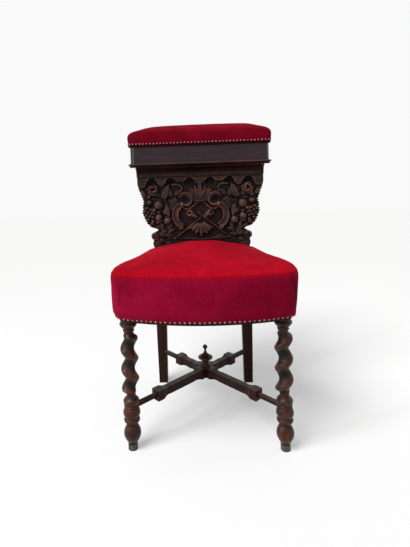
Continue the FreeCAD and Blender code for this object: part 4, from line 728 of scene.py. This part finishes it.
def seat_cover():
    inner = seat_ring(0.3)
    rows = [level_ring(inner, SEAT_UNDER, share) for share in (0.25, 0.6, 1.0)]
    rows += [level_ring(inner, height) for height in SEAT_LINING]
    rows.append(level_ring(seat_ring(2.4), SEAT_HEM))
    first_outer = len(rows)
    outer = [seat_ring(outset) for _, outset in SEAT_SIDES]
    heights = [height for height, _ in SEAT_SIDES]
    shoulder = SEAT_SIDES[-1][1]
    for height, side_in, front_in, bow, rear_share, rear_in, rounding in SEAT_TOP:
        half = FRAME_HALF + shoulder - side_in
        corner_y = front_in + FRONT_LINE - shoulder
        rear_half = (FRAME_REAR_HALF + 5) * rear_share
        outer.append(plan_ring(half, corner_y, BOW * bow, rear_half, SEAT_REAR - rear_in, rounding, 4))
        heights.append(height)
    for ring, height in zip(outer, heights):
        free = min(1, (height - SEAT_HEM + 0.2) / 20)
        ring[:, 0] -= CREEP * free * np.interp(height, CREEP_HEIGHTS, CREEP_SHARES)
    rows += spline_rows(outer, heights, SEAT_STEPS)
    top = rows[-1][:, :2]
    for share in (0.8, 0.55, 0.3, 0.12):
        rows.append(level_ring(top, SEAT_CROWN + SEAT_SWELL * (1 - share**2), share))
    piece, places, outside, moves, folds = cushion(
        "seat_velvet", SEAT_VELVET, rows, first_outer, ((14, 11, 0.0010), (45, 12, 0.00028)),
        (361, 12, NAIL_STEP, 0.0006), SEAT_FOLDS,
    )
    x, z = places[:, 0], places[:, 2]
    push_in(piece, (moves + folds) * rising(z, 0.352, 0.01) * outside)
    # Painted shade darkens the pile in its folds, on the right side and in a band under the nails
    shaded = np.clip(-folds / 0.007, 0, 0.6) * outside
    shaded += 0.4 * rising(x, 0.226, 0.01) * rising(-z, -0.468, 0.01) + 0.96 * rising(-z, -0.3582, 0.001)
    mark(piece, "painted_shade", np.clip(shaded, 0, 1))
    finish_piece(piece, "frame", ["seat_cover", "seat_stuffing"])
    return piece


def lid_pad():
    board = box_ring(3.3, 16.3, 0.3)
    rows = [level_ring(board, BOARD_TOP, share) for share in (0.3, 0.7, 1.0)]
    rows += [level_ring(board, BOARD_UNDER), level_ring(box_ring(4.2, 16.4, 1.8), PAD_EDGE)]
    first_outer = len(rows)
    heights, outsets, roundings = zip(*PAD_SIDES)
    outer = []
    for outset, rounding in zip(outsets, roundings):
        outer.append(box_ring(outset, rounding, min(outset - 3, 5), rounding * 0.8))
    rows += spline_rows(outer, heights, PAD_STEPS)
    start = rows[-1]
    middle_y = (BOX_FRONT + BOX_REAR + 1.2) / 2
    ridge = np.column_stack([np.clip(start[:, 0], -RIDGE_HALF, RIDGE_HALF), np.full(len(start), middle_y)])
    base = PAD_SIDES[-1][0]
    for share in (0.12, 0.26, 0.42, 0.58, 0.74, 0.88, 0.96):
        flat = start[:, :2] + (ridge - start[:, :2]) * share
        rows.append(level_ring(flat, base + (PAD_CROWN - base) * math.sin(math.pi / 2 * share)))
    for row in rows[3:]:
        away = np.abs(row[:, 0]) / BOX_HALF
        row[:, 2] -= rising(row[:, 2], 830, 38) * END_SINK * away**2.6
        row[:, 2] = np.where(row[:, 1] > REAR_FROM, np.maximum(row[:, 2], REAR_HEM), row[:, 2])
    piece, places, outside, moves, folds = cushion(
        "lid_velvet", LID_VELVET, rows, first_outer, ((16, 21, 0.0008), (48, 22, 0.00025)),
        (808, 10, LID_NAIL_STEP, 0.0005), PAD_FOLDS,
    )
    z = places[:, 2]
    push_in(piece, (moves + folds) * outside * rising(z, 0.8025, 0.006))
    # Painted shade in the folds, and a near-black band of painted shadow along the hem under the nails, where
    # the lid board's edge lies in shade
    shaded = np.clip(-folds / 0.005, 0, 0.5) + 0.97 * rising(-z, -0.8076, 0.001)
    mark(piece, "painted_shade", np.clip(shaded, 0, 1))
    finish_piece(piece, "lid", ["lid_cover", "lid_stuffing"])
    return piece


def box_moulding():
    """The box's floor, whose moulded rim stands up a little in front of the box."""
    profile = (
        (-6, 735.2), (1.2, 735.2), (2.4, 736.2), (3.2, 738.4), (4.8, 740.6), (6.6, 742.2), (7.2, 743.6),
        (7.2, 746.2), (6.4, 747.4), (1.0, 747.4), (0.4, 747.0), (0.4, 744.0), (-8, 744.0),
    )
    painted_highlight_from = 744.8
    rows = []
    for outset, height in profile:
        rows.append(level_ring(box_ring(outset, max(16 + outset, 5), min(outset, 3)), height))
    piece = closed_rows(rows, "box_moulding", SHADED_COVE_WOOD)
    smooth_by_angle(piece, 40)
    # The rim's top and upper front take the paler wood as a painted highlight, where light falls on them
    piece.data.materials.append(RUBBED_AND_HIGHLIT_WOOD)
    for face in piece.data.polygons:
        if face.center.z > painted_highlight_from * MM:
            face.material_index = 1
    bevel(piece, 0.0005)
    finish_piece(piece, "frame", ["box_floor"])


# A nail's dome: share of its radius and height over the cover, in metres
NAIL_RINGS = ((1.0, -0.0006), (1.0, 0.0002), (0.9, 0.0009), (0.66, 0.0017), (0.34, 0.0022))
NAIL_TIP = 0.0024


def nail_row(name, ring, height, spacing, radius, body, cover, keep):
    """Dome-headed nails along a plan ring at one height, seated on the cover's surface."""
    loop = np.vstack([ring, ring[:1]])
    reach = np.concatenate([[0], np.cumsum(np.linalg.norm(np.diff(loop, axis=0), axis=1))])
    total = reach[-1]
    count = int(total / spacing)
    bpy.context.evaluated_depsgraph_get().update()
    around = 14
    top = (len(NAIL_RINGS) - 1) * around
    nail = band_faces(len(NAIL_RINGS), around)
    nail += [(top + step, top + (step + 1) % around, top + around) for step in range(around)]
    nail.append(tuple(reversed(range(around))))
    points, faces = [], []
    random = np.random.default_rng(5)

    def spot_at(run):
        return [np.interp(run % total, reach, loop[:, axis]) for axis in (0, 1)]

    for index in range(-(count // 2), count // 2 + 1):
        place = (index * spacing) % total
        x, y = spot_at(place)
        if not keep(x, y):
            continue
        ahead_x, ahead_y = spot_at(place + 1)
        normal = Vector((ahead_y - y, x - ahead_x, 0)).normalized()
        if normal.dot(Vector((x, y - ring[:, 1].mean(), 0))) < 0:
            normal = -normal
        start = Vector((x, y - BACK, height + random.uniform(-0.25, 0.25))) * MM
        hit, spot, facing, _ = cover.ray_cast(start + normal * 0.03, -normal, distance=0.06)
        if not hit:
            continue
        out = (normal * 0.6 + facing * 0.4).normalized()
        across = Vector((0, 0, 1)).cross(out).normalized()
        up = out.cross(across)
        base = len(points)
        for size, rise in NAIL_RINGS:
            for step in range(around):
                turn = 2 * math.pi * step / around
                flat = across * math.cos(turn) + up * math.sin(turn)
                points.append(spot + flat * radius * MM * size + out * rise)
        points.append(spot + out * NAIL_TIP)
        faces += [[base + corner for corner in face] for face in nail]
    finish_piece(mesh_piece(name, points, faces, NAIL_BRASS), body)


# Straps: middles of the three each way, their level and how far they bend over and under each other
STRAPS_X = (-85.0, 0.0, 85.0)
STRAPS_Y = (45.0, 130.0, 215.0)
STRAP_LEVEL, STRAP_LIFT, STRAP_PITCH = 413.25, 0.62, 4
# Where they are tacked: behind the front line, the rear, and in from the sides, for straps this wide
TACK_FRONT, TACK_REAR, TACK_SIDE, STRAP_HALF = 12, 325.75, 6.5, 27.5
# Section of a strap: places over its width and its thickness
STRAP_SECTION = (
    (-27.4, -0.55), (-9, -0.55), (9, -0.55), (27.4, -0.55), (27.4, 0.55), (9, 0.55), (-9, 0.55), (-27.4, 0.55)
)


def strap(name, along_y, middle, start, stop, phase):
    """A strap that goes over and under the ones that it crosses."""
    count = int((stop - start) / STRAP_PITCH)
    points = []
    for index in range(count + 1):
        run = start + (stop - start) * index / count
        near = [abs(run - other) for other in (STRAPS_Y if along_y else STRAPS_X)]
        sign = 1 if (near.index(min(near)) + phase) % 2 == 0 else -1
        z = STRAP_LEVEL + sign * STRAP_LIFT * math.exp(-((min(near) / 34) ** 4))
        for edge, level in STRAP_SECTION:
            x, y = (middle + edge, run) if along_y else (run, middle + edge)
            points.append(Vector((x, y - BACK, z + level)) * MM)
    piece = mesh_piece(name, points, capped_faces(count + 1, len(STRAP_SECTION)), WEBBING)
    finish_piece(piece, "frame", ["seat_webbing"])


def webbing():
    """Straps tacked on the rails."""
    for index, x in enumerate(STRAPS_X):
        strap(f"strap_along_{index}", True, x, TACK_FRONT + FRONT_LINE - BOW, TACK_REAR, index)
    for index, y in enumerate(STRAPS_Y):
        half = FRAME_HALF - SIDE_SLOPE * (y + STRAP_HALF - FRONT_LINE) - TACK_SIDE
        strap(f"strap_across_{index}", False, y, -half, half, index + 1)


def hessian():
    """The sheet over the straps, a little smaller than the seat frame."""
    inset, rear_y, low, thick = 6, 284.6, 414.7, 0.7
    ring = plan_ring(FRAME_HALF - inset, FRONT_LINE + inset, BOW, FRAME_REAR_HALF - inset, rear_y, 14, 4)
    rows = [level_ring(ring, low, share) for share in (0.02, 0.2, 0.4, 0.6, 0.8, 0.92, 1.0)]
    rows += [row + np.array([0, 0, thick]) for row in reversed(rows)]
    points = np.concatenate(rows) * MM
    points[:, 1] -= BACK * MM
    cloth = mesh_piece("hessian_sheet", points, capped_faces(len(rows), len(ring)), HESSIAN)
    finish_piece(cloth, "frame", ["seat_hessian"])


# Carved panel

# All places on the panel are x from its middle and z from the floor, in mm, for its right half;
# heights are mm over the ground. Leaves: x, z of the stalk, length, width, turn, height, lobes
LEAVES = (
    (118, 630, 56, 31, -20, 10, 0), (92, 636, 36, 20, 14, 8, 0), (84, 640, 30, 18, -44, 7, 0),
    (74, 640, 40, 26, -78, 5, 0), (70, 612, 34, 24, 60, 5, 0), (86, 588, 36, 26, 10, 5, 3),
    (92, 560, 34, 24, 30, 5, 3), (128, 640, 26, 16, 62, 7, 3), (172, 640, 30, 18, 40, 9, 3),
    (176, 622, 24, 15, 96, 9, 3), (112, 612, 34, 20, 205, 9, 3), (118, 598, 36, 15, 222, 10, 0),
    (104, 596, 30, 16, 186, 9, 3), (150, 604, 26, 17, 168, 9, 3), (178, 606, 26, 15, 150, 9, 3),
    (142, 600, 26, 15, 214, 8, 3), (122, 566, 28, 16, 118, 9, 3), (150, 566, 26, 15, 148, 9, 3),
    (128, 556, 30, 17, 196, 8, 3), (94, 556, 32, 19, 160, 7, 3), (84, 536, 32, 18, 120, 7, 3),
    (108, 532, 30, 17, 112, 7, 3), (90, 516, 34, 15, 94, 6, 3), (116, 512, 26, 16, 62, 8, 3),
    (118, 500, 26, 15, 104, 6, 3), (130, 474, 26, 14, 20, 5, 0), (70, 600, 22, 13, 128, 6, 3),
    (166, 566, 22, 13, 100, 8, 3),
)
# Round fruit and grapes: x, z, radius, height
FRUIT = (
    (134.5, 612, 15.4, 14.3), (163, 621, 9.6, 12), (135, 572, 12.6, 13.4), (107, 560, 13.4, 13),
    (148, 597, 8, 11), (121, 640, 6.5, 9), (164, 640, 7, 10), (154, 560, 6.5, 10), (118, 586, 5.5, 9),
    (171, 603, 6.4, 11), (160, 598, 6, 10.5), (178, 594, 6, 10.5), (168, 590, 6.2, 11), (158, 585, 6, 10.5),
    (174, 581, 5.8, 10), (164, 577, 6, 10.5), (154, 574, 5.6, 10), (168, 567, 5.2, 9.5), (149, 584, 5.2, 9),
)
# Deep spots between the leaves: x, z
PITS = ((74, 527), (96, 576), (122, 583), (138, 596), (106, 628), (160, 610), (84, 632), (150, 546))
# Palmette over the cartouche: turn, length, width and height of each leaf
PALMETTE = (
    (-62, 58, 34, 6.0), (62, 58, 34, 6.0), (-38, 68, 34, 7.5), (38, 68, 34, 7.5), (0, 70, 24, 9.0),
    (-20, 60, 13, 11), (20, 60, 13, 11), (0, 40, 9, 12.5),
)
NICHES = (32.9, 93.2, 153.7)
NICHE_HEIGHT, NICHE_RADIUS = 683.5, 15.4
# Tongues of the head between the niches: middle, half width above, half width below, lowest point
TONGUES = ((0, 15, 3, 676), (62, 14, 12, 684.5), (122.5, 15, 5.5, 671.5), (186, 17, 9, 668))
HEAD_LOW = 689.0


class Relief:
    """Height of the carving over the panel's ground, in mm, over arrays of x and z in mm."""

    def __init__(self, x, z):
        self.x = x
        self.z = z
        self.places = np.stack([x, z], -1)
        self.height = np.zeros_like(x)

    def raise_to(self, height, where=True):
        self.height = np.where(where, np.maximum(self.height, height), self.height)

    def dome(self, x, z, radius, top, power=0.5):
        inside = 1 - ((self.x - x) / radius) ** 2 - ((self.z - z) / radius) ** 2
        self.raise_to(top * np.clip(inside, 0, 1) ** power, inside > 0)

    def leaf(self, x, z, length, width, turn, top, lobes=0):
        """A leaf from its stalk end, pointing at turn degrees from upright, with a midrib and veins."""
        a = math.radians(turn)
        along = (self.x - x) * math.sin(a) + (self.z - z) * math.cos(a)
        across = (self.x - x) * math.cos(a) - (self.z - z) * math.sin(a)
        share = np.clip(along / length, 0, 1)
        half = width / 2 * np.sin(np.pi * share**0.72) ** 0.8
        if lobes:
            half = half * (0.74 + 0.26 * np.abs(np.cos(np.pi * lobes * share)))
        inside = (along > 0) & (along < length) & (np.abs(across) < half)
        edge = np.clip(1 - np.abs(across) / np.maximum(half, 0.1), 0, 1)
        body = top * (0.4 + 0.6 * np.sin(np.pi * (0.15 + 0.75 * share))) * np.clip(edge * 1.8, 0, 1) ** 0.7
        vein = 1.6 * np.exp(-((across / 1.2) ** 2))
        ribs = 0.8 * np.cos((along - np.abs(across) * 1.3) * 1.0)
        self.raise_to(body - vein + ribs * edge, inside)

    def band(self, points, width, top, taper=0.0, lines=0.0):
        """A rounded band along a line of points; lines is the depth of the groove along its middle."""
        nearest, along = along_path(self.places, points)
        half = width / 2 * (1 - taper * along)
        inside = 1 - (nearest / half) ** 2
        height = top * np.clip(inside, 0, 1) ** 0.4 - lines * np.exp(-((nearest / (half * 0.5)) ** 2))
        self.raise_to(height, inside > 0)

    def sink(self, x, z, radius, level):
        """A drilled or hollowed spot, no higher than level."""
        away = np.hypot(self.x - x, self.z - z)
        self.height = np.where(away < radius, np.minimum(self.height, level), self.height)


def arc(x, z, radius, start, sweep, steps=22, shrink=0.0):
    points = []
    for index in range(steps + 1):
        share = index / steps
        a = math.radians(start + sweep * share)
        reach = radius * (1 - shrink * share)
        points.append((x + reach * math.cos(a), z + reach * math.sin(a)))
    return points


def sided(points, side):
    """The points as they lie on the panel's right, 1, or mirrored on its left, -1."""
    return [(side * x, z) for x, z in points]


def swags(carving):
    """Fruit, grapes and leaves at both sides, a rolled flower above them and a volute below."""
    random = np.random.default_rng(17)
    waves = np.zeros_like(carving.x)
    for _ in range(9):
        a = random.uniform(0, math.pi)
        rate = random.uniform(0.2, 0.5)
        waves += np.sin((carving.x * math.cos(a) + carving.z * math.sin(a)) * rate + random.uniform(0, 6)) / 9
    outer = rising(np.abs(carving.x), 92, 8) * rising(-carving.z, -672, 10)
    carving.raise_to(outer * np.clip(0.6 + 7.0 * waves, 0, 6))
    for side in (-1, 1):
        for x, z, length, width, turn, top, lobes in LEAVES:
            carving.leaf(side * x, z, length, width, side * turn, top, lobes)
        for x, z, radius, top in FRUIT:
            carving.dome(side * x, z, radius, top)
        # Flower rolled around a dark eye
        carving.dome(side * 151, 661, 21, 11.6, 0.4)
        away = np.hypot(carving.x - side * 151, carving.z - 661)
        angle = np.arctan2(carving.z - 661, carving.x - side * 151)
        petals = 2.4 * np.cos(3 * angle + away * 0.5 * side)
        carving.height += np.where((away < 19) & (away > 5), petals, 0)
        carving.sink(side * 152, 663, 4.6, 3.5)
        # Hook under the niches
        hook = [(88, 676), (74, 678), (63, 674), (57, 664), (61, 655), (67, 652)]
        carving.band(sided(hook, side), 8.0, 9.5, 0.3, 2.0)
        # Moulding along the notch and the volutes beside the cushion
        edge = [(158, 556), (146, 546), (131, 538), (118, 524), (108, 512)]
        carving.band(sided(edge, side), 6.5, 8.5, 0.2, 1.0)
        for x, z, radius, top in ((146, 511, 15, 10), (140, 485, 12.5, 6)):
            carving.dome(side * x, z, radius, top * 0.62)
            spiral = arc(side * x, z, radius - 3.4, 90, -side * 540, 40, 0.7)
            carving.band(spiral, 6.2, top, 0.3, 1.0)
            carving.dome(side * x, z, 4.4, top + 1.0)
        for x, z in PITS:
            carving.sink(side * x, z, 3.4, -3.0)


def cartouche(carving):
    """Scrolls around a sunk field, the palmette above it and the shell below."""
    x, z = carving.x, carving.z
    field = ((x / 72) ** 2 + ((z - 574) / 42) ** 2) < 1
    carving.height = np.where(field, np.minimum(carving.height, -2.5), carving.height)
    for side in (-1, 1):
        centre = side * 45.5
        opening = 0 if side > 0 else 180
        # Broad crescent with a raised line at either edge
        away = np.hypot(x - centre, z - 578)
        beside = (away > 27) & (away < 46) & (side * (x - centre) > 12) & (np.abs(z - 578) < 42)
        hollow = 7.2 + 2.6 * ((away - 36) / 9) ** 2
        carving.height = np.where(beside, hollow, carving.height)
        carving.band(arc(centre, 578, 44.5, -side * 62 + opening, side * 124, 26), 4.8, 11.5)
        carving.band(arc(side * 40, 578, 32.5, -side * 66 + opening, side * 132, 26), 3.8, 9.5)
        carving.band(arc(side * 64, 540, 7.0, -90 + side * 60, -side * 230, 14, 0.4), 6.0, 9.5, 0.4)
        # Crest scroll that ends in a ball
        spiral = arc(side * 46.5, 628, 22.5, 90 - side * 34, side * 262, 30, 0.3)
        carving.band(spiral, 10.5, 12, 0.15, 3.2)
        carving.sink(side * 50, 630, 9.0, -3.0)
        carving.dome(side * 59, 612, 7.6, 14)
    carving.leaf(-70, 622, 26, 9, -52, 8)
    carving.leaf(72, 622, 26, 9, 52, 8)
    hood = [(-57, 604), (-46, 597), (-34, 598), (-24, 606), (-14, 616), (0, 620)]
    carving.band(hood + sided(hood[:-1], -1)[::-1], 6.0, 8.5, 0.0, 1.4)
    carving.band([(-14, 624), (14, 624)], 7.0, 10.5)
    for turn, length, width, top in PALMETTE:
        carving.leaf(0, 622, length, width, turn, top)
    # Shell with a ragged lower edge
    dx, dz = x - 1, 562 - z
    away = np.hypot(dx, dz)
    angle = np.arctan2(dx, dz)
    lobes = np.abs(np.cos(angle * 9.2))
    tips = 44 + 13 * lobes**1.5 * (0.55 + 0.45 * np.cos(angle * 13))
    inside = (np.abs(angle) < 0.98) & (away > 8) & (away < tips)
    rise = np.clip((away - 8) / 10, 0, 1) ** 0.6 * np.clip((tips - away) / 5, 0, 1) ** 0.4
    carving.raise_to((6.6 + 3.6 * lobes**0.6) * rise, inside)
    carving.band([(-92, 506), (-50, 501), (0, 499), (50, 501), (92, 506)], 5, 5.0, 0.0, 1.0)
    carving.band([(-70, 512), (-36, 503)], 4, 4.6)
    carving.band([(70, 512), (36, 503)], 4, 4.6)


def pipes(carving):
    """Two crossed pipes whose bowls face outward."""
    carving.band([(0, 569), (-86, 502)], 4.4, 8.0)
    carving.band([(-7, 586), (81, 513)], 4.6, 10.5)
    for side, x, z in ((-1, -24, 577), (1, 21, 578)):
        lean = (0.82, 0.57)
        for step in range(11):
            share = step / 10
            reach = (share - 0.5) * 23
            radius = 6.0 + 6.6 * share
            carving.dome(x + side * reach * lean[0], z + reach * lean[1], radius, 6.5 + radius * 0.6, 0.45)
        mouth = (x + side * 12 * lean[0], z + 12 * lean[1])
        carving.dome(*mouth, 11.0, 14.5, 0.2)
        carving.sink(mouth[0] + side * 2.4, mouth[1] + 1.6, 4.8, 6.0)


def head(carving):
    """Plain head with tongues between round niches."""
    x, z = carving.x, carving.z
    across = np.abs(x)
    away = np.full_like(across, 1e9)
    for centre in NICHES:
        upper = np.maximum(z - NICHE_HEIGHT, 0)
        away = np.minimum(away, np.hypot(across - centre, upper))
    niche = (away < NICHE_RADIUS) & (z > 660)
    low = np.full_like(across, HEAD_LOW)
    for centre, half_high, half_low, lowest in TONGUES:
        offset = np.abs(across - centre)
        slope = np.clip((half_high - offset) / (half_high - half_low), 0, 1)
        edge = HEAD_LOW - (HEAD_LOW - lowest) * slope**0.7
        low = np.minimum(low, np.where(offset < half_high, edge, HEAD_LOW))
    board = (z > low) & ~niche
    rim = 1.2 * np.exp(-(((away - NICHE_RADIUS - 1.6) / 1.2) ** 2)) * (z > 674)
    lip = 0.5 + 0.5 * np.clip((z - low) / 1.6, 0, 1)
    plain = (7.0 + rim) * lip
    foliage = np.where(z < 687, carving.height, 0)
    floor = -8.0 * rising(z, 668, 20)
    carving.height = np.where(niche & (carving.height < 6), floor, carving.height)
    carving.height = np.where(board, np.maximum(plain, foliage), carving.height)
    groove = 1.1 * np.exp(-(((z - 700.5) / 0.8) ** 2))
    carving.height -= np.where(board & (z > 690), groove, 0)


def relief(x, z):
    carving = Relief(x, z)
    swags(carving)
    cartouche(carving)
    pipes(carving)
    head(carving)
    return carving.height


def blurred(values, passes):
    for _ in range(passes):
        padded = np.pad(values, 1, mode="edge")
        values = (padded[:-2, 1:-1] + padded[2:, 1:-1] + padded[1:-1, :-2] + padded[1:-1, 2:] + values) / 5
    return values


def half_width(z):
    """The panel's silhouette as measured, with the bumps of grapes and leaves along its edge."""
    table = (
        (415.8, 149), (455, 149), (462, 151), (472, 154), (478, 156), (486, 158), (494, 155.5), (499, 156),
        (504, 162), (514, 163), (520, 159), (525, 147), (531, 138), (536, 146), (540, 161), (546, 168),
        (554, 175), (564, 179), (574, 184), (587, 188.5), (600, 186), (610, 187.5), (618, 184),
        (624, 183.5), (634, 187), (644, 191), (652, 193), (661, 197.5), (668, 199.5), (674, 200.2),
        (704, 200.4),
    )
    heights, widths = zip(*table)
    return np.interp(z, heights, widths)


# The panel's lowest and highest point, half width and depth of its ground
PANEL_LOW, PANEL_HIGH, PANEL_HALF, PANEL_FRONT = 416.0, 703.9, 200.4, 291.0
# Depths of the columns that lead round its edges to the back, and how far they lie in
EDGE_DEPTHS, EDGE_INSETS = (299.5, 305.0, 306.8), (0.0, 0.4, 1.6)
PANEL_ROWS, PANEL_COLUMNS = 270, 360


def carved_panel():
    rows, columns = PANEL_ROWS, PANEL_COLUMNS
    z = np.linspace(PANEL_LOW, PANEL_HIGH, rows)
    bumps = 1.6 * np.sin(z * 0.72) * rising(-z, -672, 20) * rising(z, 534, 12)
    half = np.minimum(half_width(z) + bumps, PANEL_HALF)
    X = np.linspace(-1, 1, columns) * half[:, None]
    Z = np.repeat(z[:, None], columns, 1)
    H = relief(X, Z)
    # How far each spot stands out of or lies in its surroundings, for painted shade in the hollows and
    # painted highlight and wear on the ridges
    tone = np.clip(0.29 + H / 30 + (H - blurred(H, 30)) / 15, 0, 1)
    # The sunk field behind the pipes is kept out of the darkest painted shade; a band of painted shadow lies
    # under the cornice
    field = (X / 66) ** 2 + ((Z - 576) / 40) ** 2 < 1
    tone = np.where(field, np.maximum(tone, 0.34), tone)
    tone = np.where(Z > 701.5, 0.08, tone)
    # Soften single steps, then hold the carving back where the cushion and the edge are near
    H = blurred(H, 1) * 0.6 + H * 0.4
    rounding = np.clip(3.5 - (half[:, None] - np.abs(X)), 0, 3.5)
    H -= np.where(Z < 672, rounding**2 * 0.75, 0)
    limit = np.where(Z < 512, 5.4, 14.5)
    limit = np.where((Z >= 506) & (Z < 530), 5.4 + (Z - 506) * 0.38, limit)
    H = np.clip(H, -9.0, limit)
    extra = len(EDGE_DEPTHS)
    depths = np.tile(EDGE_DEPTHS, (rows, 1))
    edge = half[:, None] - np.array(EDGE_INSETS)
    X = np.hstack([-edge[:, ::-1], X, edge])
    Y = np.hstack([depths[:, ::-1], PANEL_FRONT - H, depths]) - BACK
    Z = np.repeat(z[:, None], columns + 2 * extra, 1)
    index = np.arange(X.size).reshape(X.shape)
    left, right = index[:, 0], index[:, -1]
    faces = grid_faces(index)
    faces += np.stack([left[:-1], left[1:], right[1:], right[:-1]], 1).tolist()
    for row in (0, rows - 1):
        faces.append(index[row, extra:-extra].tolist() + [int(right[row]), int(left[row])])
    points = np.stack([X, Y, Z], 2).reshape(-1, 3) * MM
    piece = mesh_piece("carved_back", points, faces, CARVED_WOOD)
    smooth_by_angle(piece, 50)
    mark(piece, "relief_tone", np.pad(tone, ((0, 0), (extra, extra)), constant_values=0.4).ravel())
    finish_piece(piece, "frame", ["back_panel"])


# Nodes that keep the construction's shapes: start of the name, material and width of the rounded edges
NODE_LOOKS = (
    ("rear_leg", WOOD["z"], 0.0016), ("stretcher_bar", WOOD["x"], 0.0014), ("front_rail", WOOD["x"], 0.0006),
    ("side_rail", WOOD["y"], 0.0006), ("back_rail", WOOD["x"], 0.0008), ("back_cornice", SHADED_COVE_WOOD, 0.0008),
    ("lid_board", SHADED_COVE_WOOD, 0.0006), ("box", BOX_WOOD, 0.0007), ("glue", RAW_WOOD, 0.0006),
    ("hinge", HINGE_BRASS, 0.0002),
)


def dress_nodes():
    for name, node in frame["nodes"].items():
        for start, chosen, width in NODE_LOOKS:
            if name.startswith(start):
                node.data.materials.clear()
                node.data.materials.append(chosen)
                bevel(node, width, rubbed=chosen not in (RAW_WOOD, HINGE_BRASS))
                node.modifiers.new("shade", "WEIGHTED_NORMAL").keep_sharp = True
                shade_smooth(node.data)


# Stage: floor, light, camera

WHITE = (1, 1, 1, 1)
FLOOR_SIZE, FLOOR_CELLS = 9.0, 24
# The camera as fitted to the photo, in pixels and degrees
PHOTO_WIDTH, PHOTO_HEIGHT, FOCUS = 410, 547, 424.08
CENTRE_X, CENTRE_Y = 171.5, 187.9
SENSOR = 36
PITCH, YAW, ROLL = 3.03, -3.56, 2.01
# Its place, in metres, in the CAD's measure of depth
CAMERA_X, CAMERA_Y, CAMERA_Z = -0.0066, -1.068, 0.739


def seen_by(tree, *kinds):
    rays = put(tree, "LightPath").outputs
    seen = rays[f"Is {kinds[0]} Ray"]
    for kind in kinds[1:]:
        seen = maths(tree, "MAXIMUM", seen, rays[f"Is {kind} Ray"])
    return seen


def floor():
    """A pale floor that glows a little where the camera sees it, but lights nothing."""
    steps = np.arange(FLOOR_CELLS + 1) / FLOOR_CELLS
    x, y = np.meshgrid((steps - 0.5) * FLOOR_SIZE, (steps - 0.42) * FLOOR_SIZE)
    points = np.stack([x, y, 0 * x], 2).reshape(-1, 3).tolist()
    mesh = bpy.data.meshes.new("floor")
    mesh.from_pydata(points, [], grid_faces(np.arange(x.size).reshape(x.shape)))
    material, tree, shader = new_material("pale_floor")
    feed(tree, shader, {"Base Color": (0.6, 0.6, 0.6, 1), "Roughness": 0.9, "Specular IOR Level": 0.1})
    glow = put(tree, "Emission", {0: WHITE, 1: 0.33})
    seen = seen_by(tree, "Camera", "Glossy")
    total = put(tree, "AddShader", {0: shader.outputs[0], 1: glow.outputs[0]})
    mixed = put(tree, "MixShader", {0: seen, 1: shader.outputs[0], 2: total.outputs[0]})
    out = [node for node in tree.nodes if node.type == "OUTPUT_MATERIAL"][0]
    tree.links.new(mixed.outputs[0], out.inputs[0])
    mesh.materials.append(material)
    place_object("floor", mesh)


def world():
    """White to the camera and in reflections, dimmer as a light."""
    studio = bpy.data.worlds.new("studio")
    bpy.context.scene.world = studio
    studio.use_nodes = True
    tree = studio.node_tree
    tree.nodes.clear()
    soft = put(tree, "Background", {0: WHITE, 1: 0.3})
    white = put(tree, "Background", {0: WHITE, 1: 0.95})
    seen = seen_by(tree, "Camera", "Transmission", "Glossy")
    mixed = put(tree, "MixShader", {0: seen, 1: soft.outputs[0], 2: white.outputs[0]})
    put(tree, "OutputWorld", {0: mixed.outputs[0]})


def light(name, kind, place, aim, **values):
    item = place_object(name, settle(bpy.data.lights.new(name, kind), **values))
    item.location = place
    item.rotation_euler = (Vector(aim) - Vector(place)).to_track_quat("-Z", "Y").to_euler()


def camera():
    lens = bpy.data.cameras.new("camera")
    item = place_object("camera", lens)
    pitch, yaw, roll = math.radians(PITCH), math.radians(YAW), math.radians(ROLL)
    forward = Vector((math.sin(yaw) * math.cos(pitch), math.cos(yaw) * math.cos(pitch), -math.sin(pitch)))
    right = Vector((math.cos(yaw), -math.sin(yaw), 0))
    up = right.cross(forward)
    turned_right = right * math.cos(roll) - up * math.sin(roll)
    turned_up = right * math.sin(roll) + up * math.cos(roll)
    rotation = Matrix((turned_right, turned_up, -forward)).transposed()
    place = Matrix.Translation((CAMERA_X, CAMERA_Y - BACK * MM, CAMERA_Z))
    item.matrix_world = place @ rotation.to_4x4()
    settle(
        lens, sensor_fit="AUTO", sensor_width=SENSOR, lens=FOCUS / PHOTO_HEIGHT * SENSOR, clip_start=0.01,
        shift_x=(PHOTO_WIDTH / 2 - CENTRE_X) / PHOTO_HEIGHT,
        shift_y=(CENTRE_Y - PHOTO_HEIGHT / 2) / PHOTO_HEIGHT,
    )
    lens.dof.use_dof = False
    bpy.context.scene.camera = item


front_leg("left", -1, -1, 271.0)
front_leg("right", 1, 1, 268.8)
finial()
seat = seat_cover()
pad = lid_pad()
nail_row("seat_nails", seat_ring(8), 358.8, NAIL_STEP, 2.9, "frame", seat, lambda x, y: y < 280)
nail_row("lid_nails", box_ring(6, 16, 3.5), 808.6, LID_NAIL_STEP, 2.6, "lid", pad, lambda x, y: y < 384)
box_moulding()
webbing()
hessian()
carved_panel()
dress_nodes()
floor()
world()
light(
    "key", "SUN", (-0.72, -0.74, 1.45), (0, 0, 0), energy=2.7, color=(1.0, 0.99, 0.98), angle=math.radians(32)
)
light(
    "side", "AREA", (-1.6, -1.0, 0.8), (0, 0, 0.4),
    shape="DISK", size=0.22, energy=11, color=(0.86, 0.92, 1.0),
)
light("rim", "AREA", (1.7, 0.2, 1.0), (0, 0, 0.5), shape="DISK", size=0.5, energy=3, color=(0.95, 0.97, 1.0))
camera()
bpy.context.scene.view_settings.view_transform = "Standard"
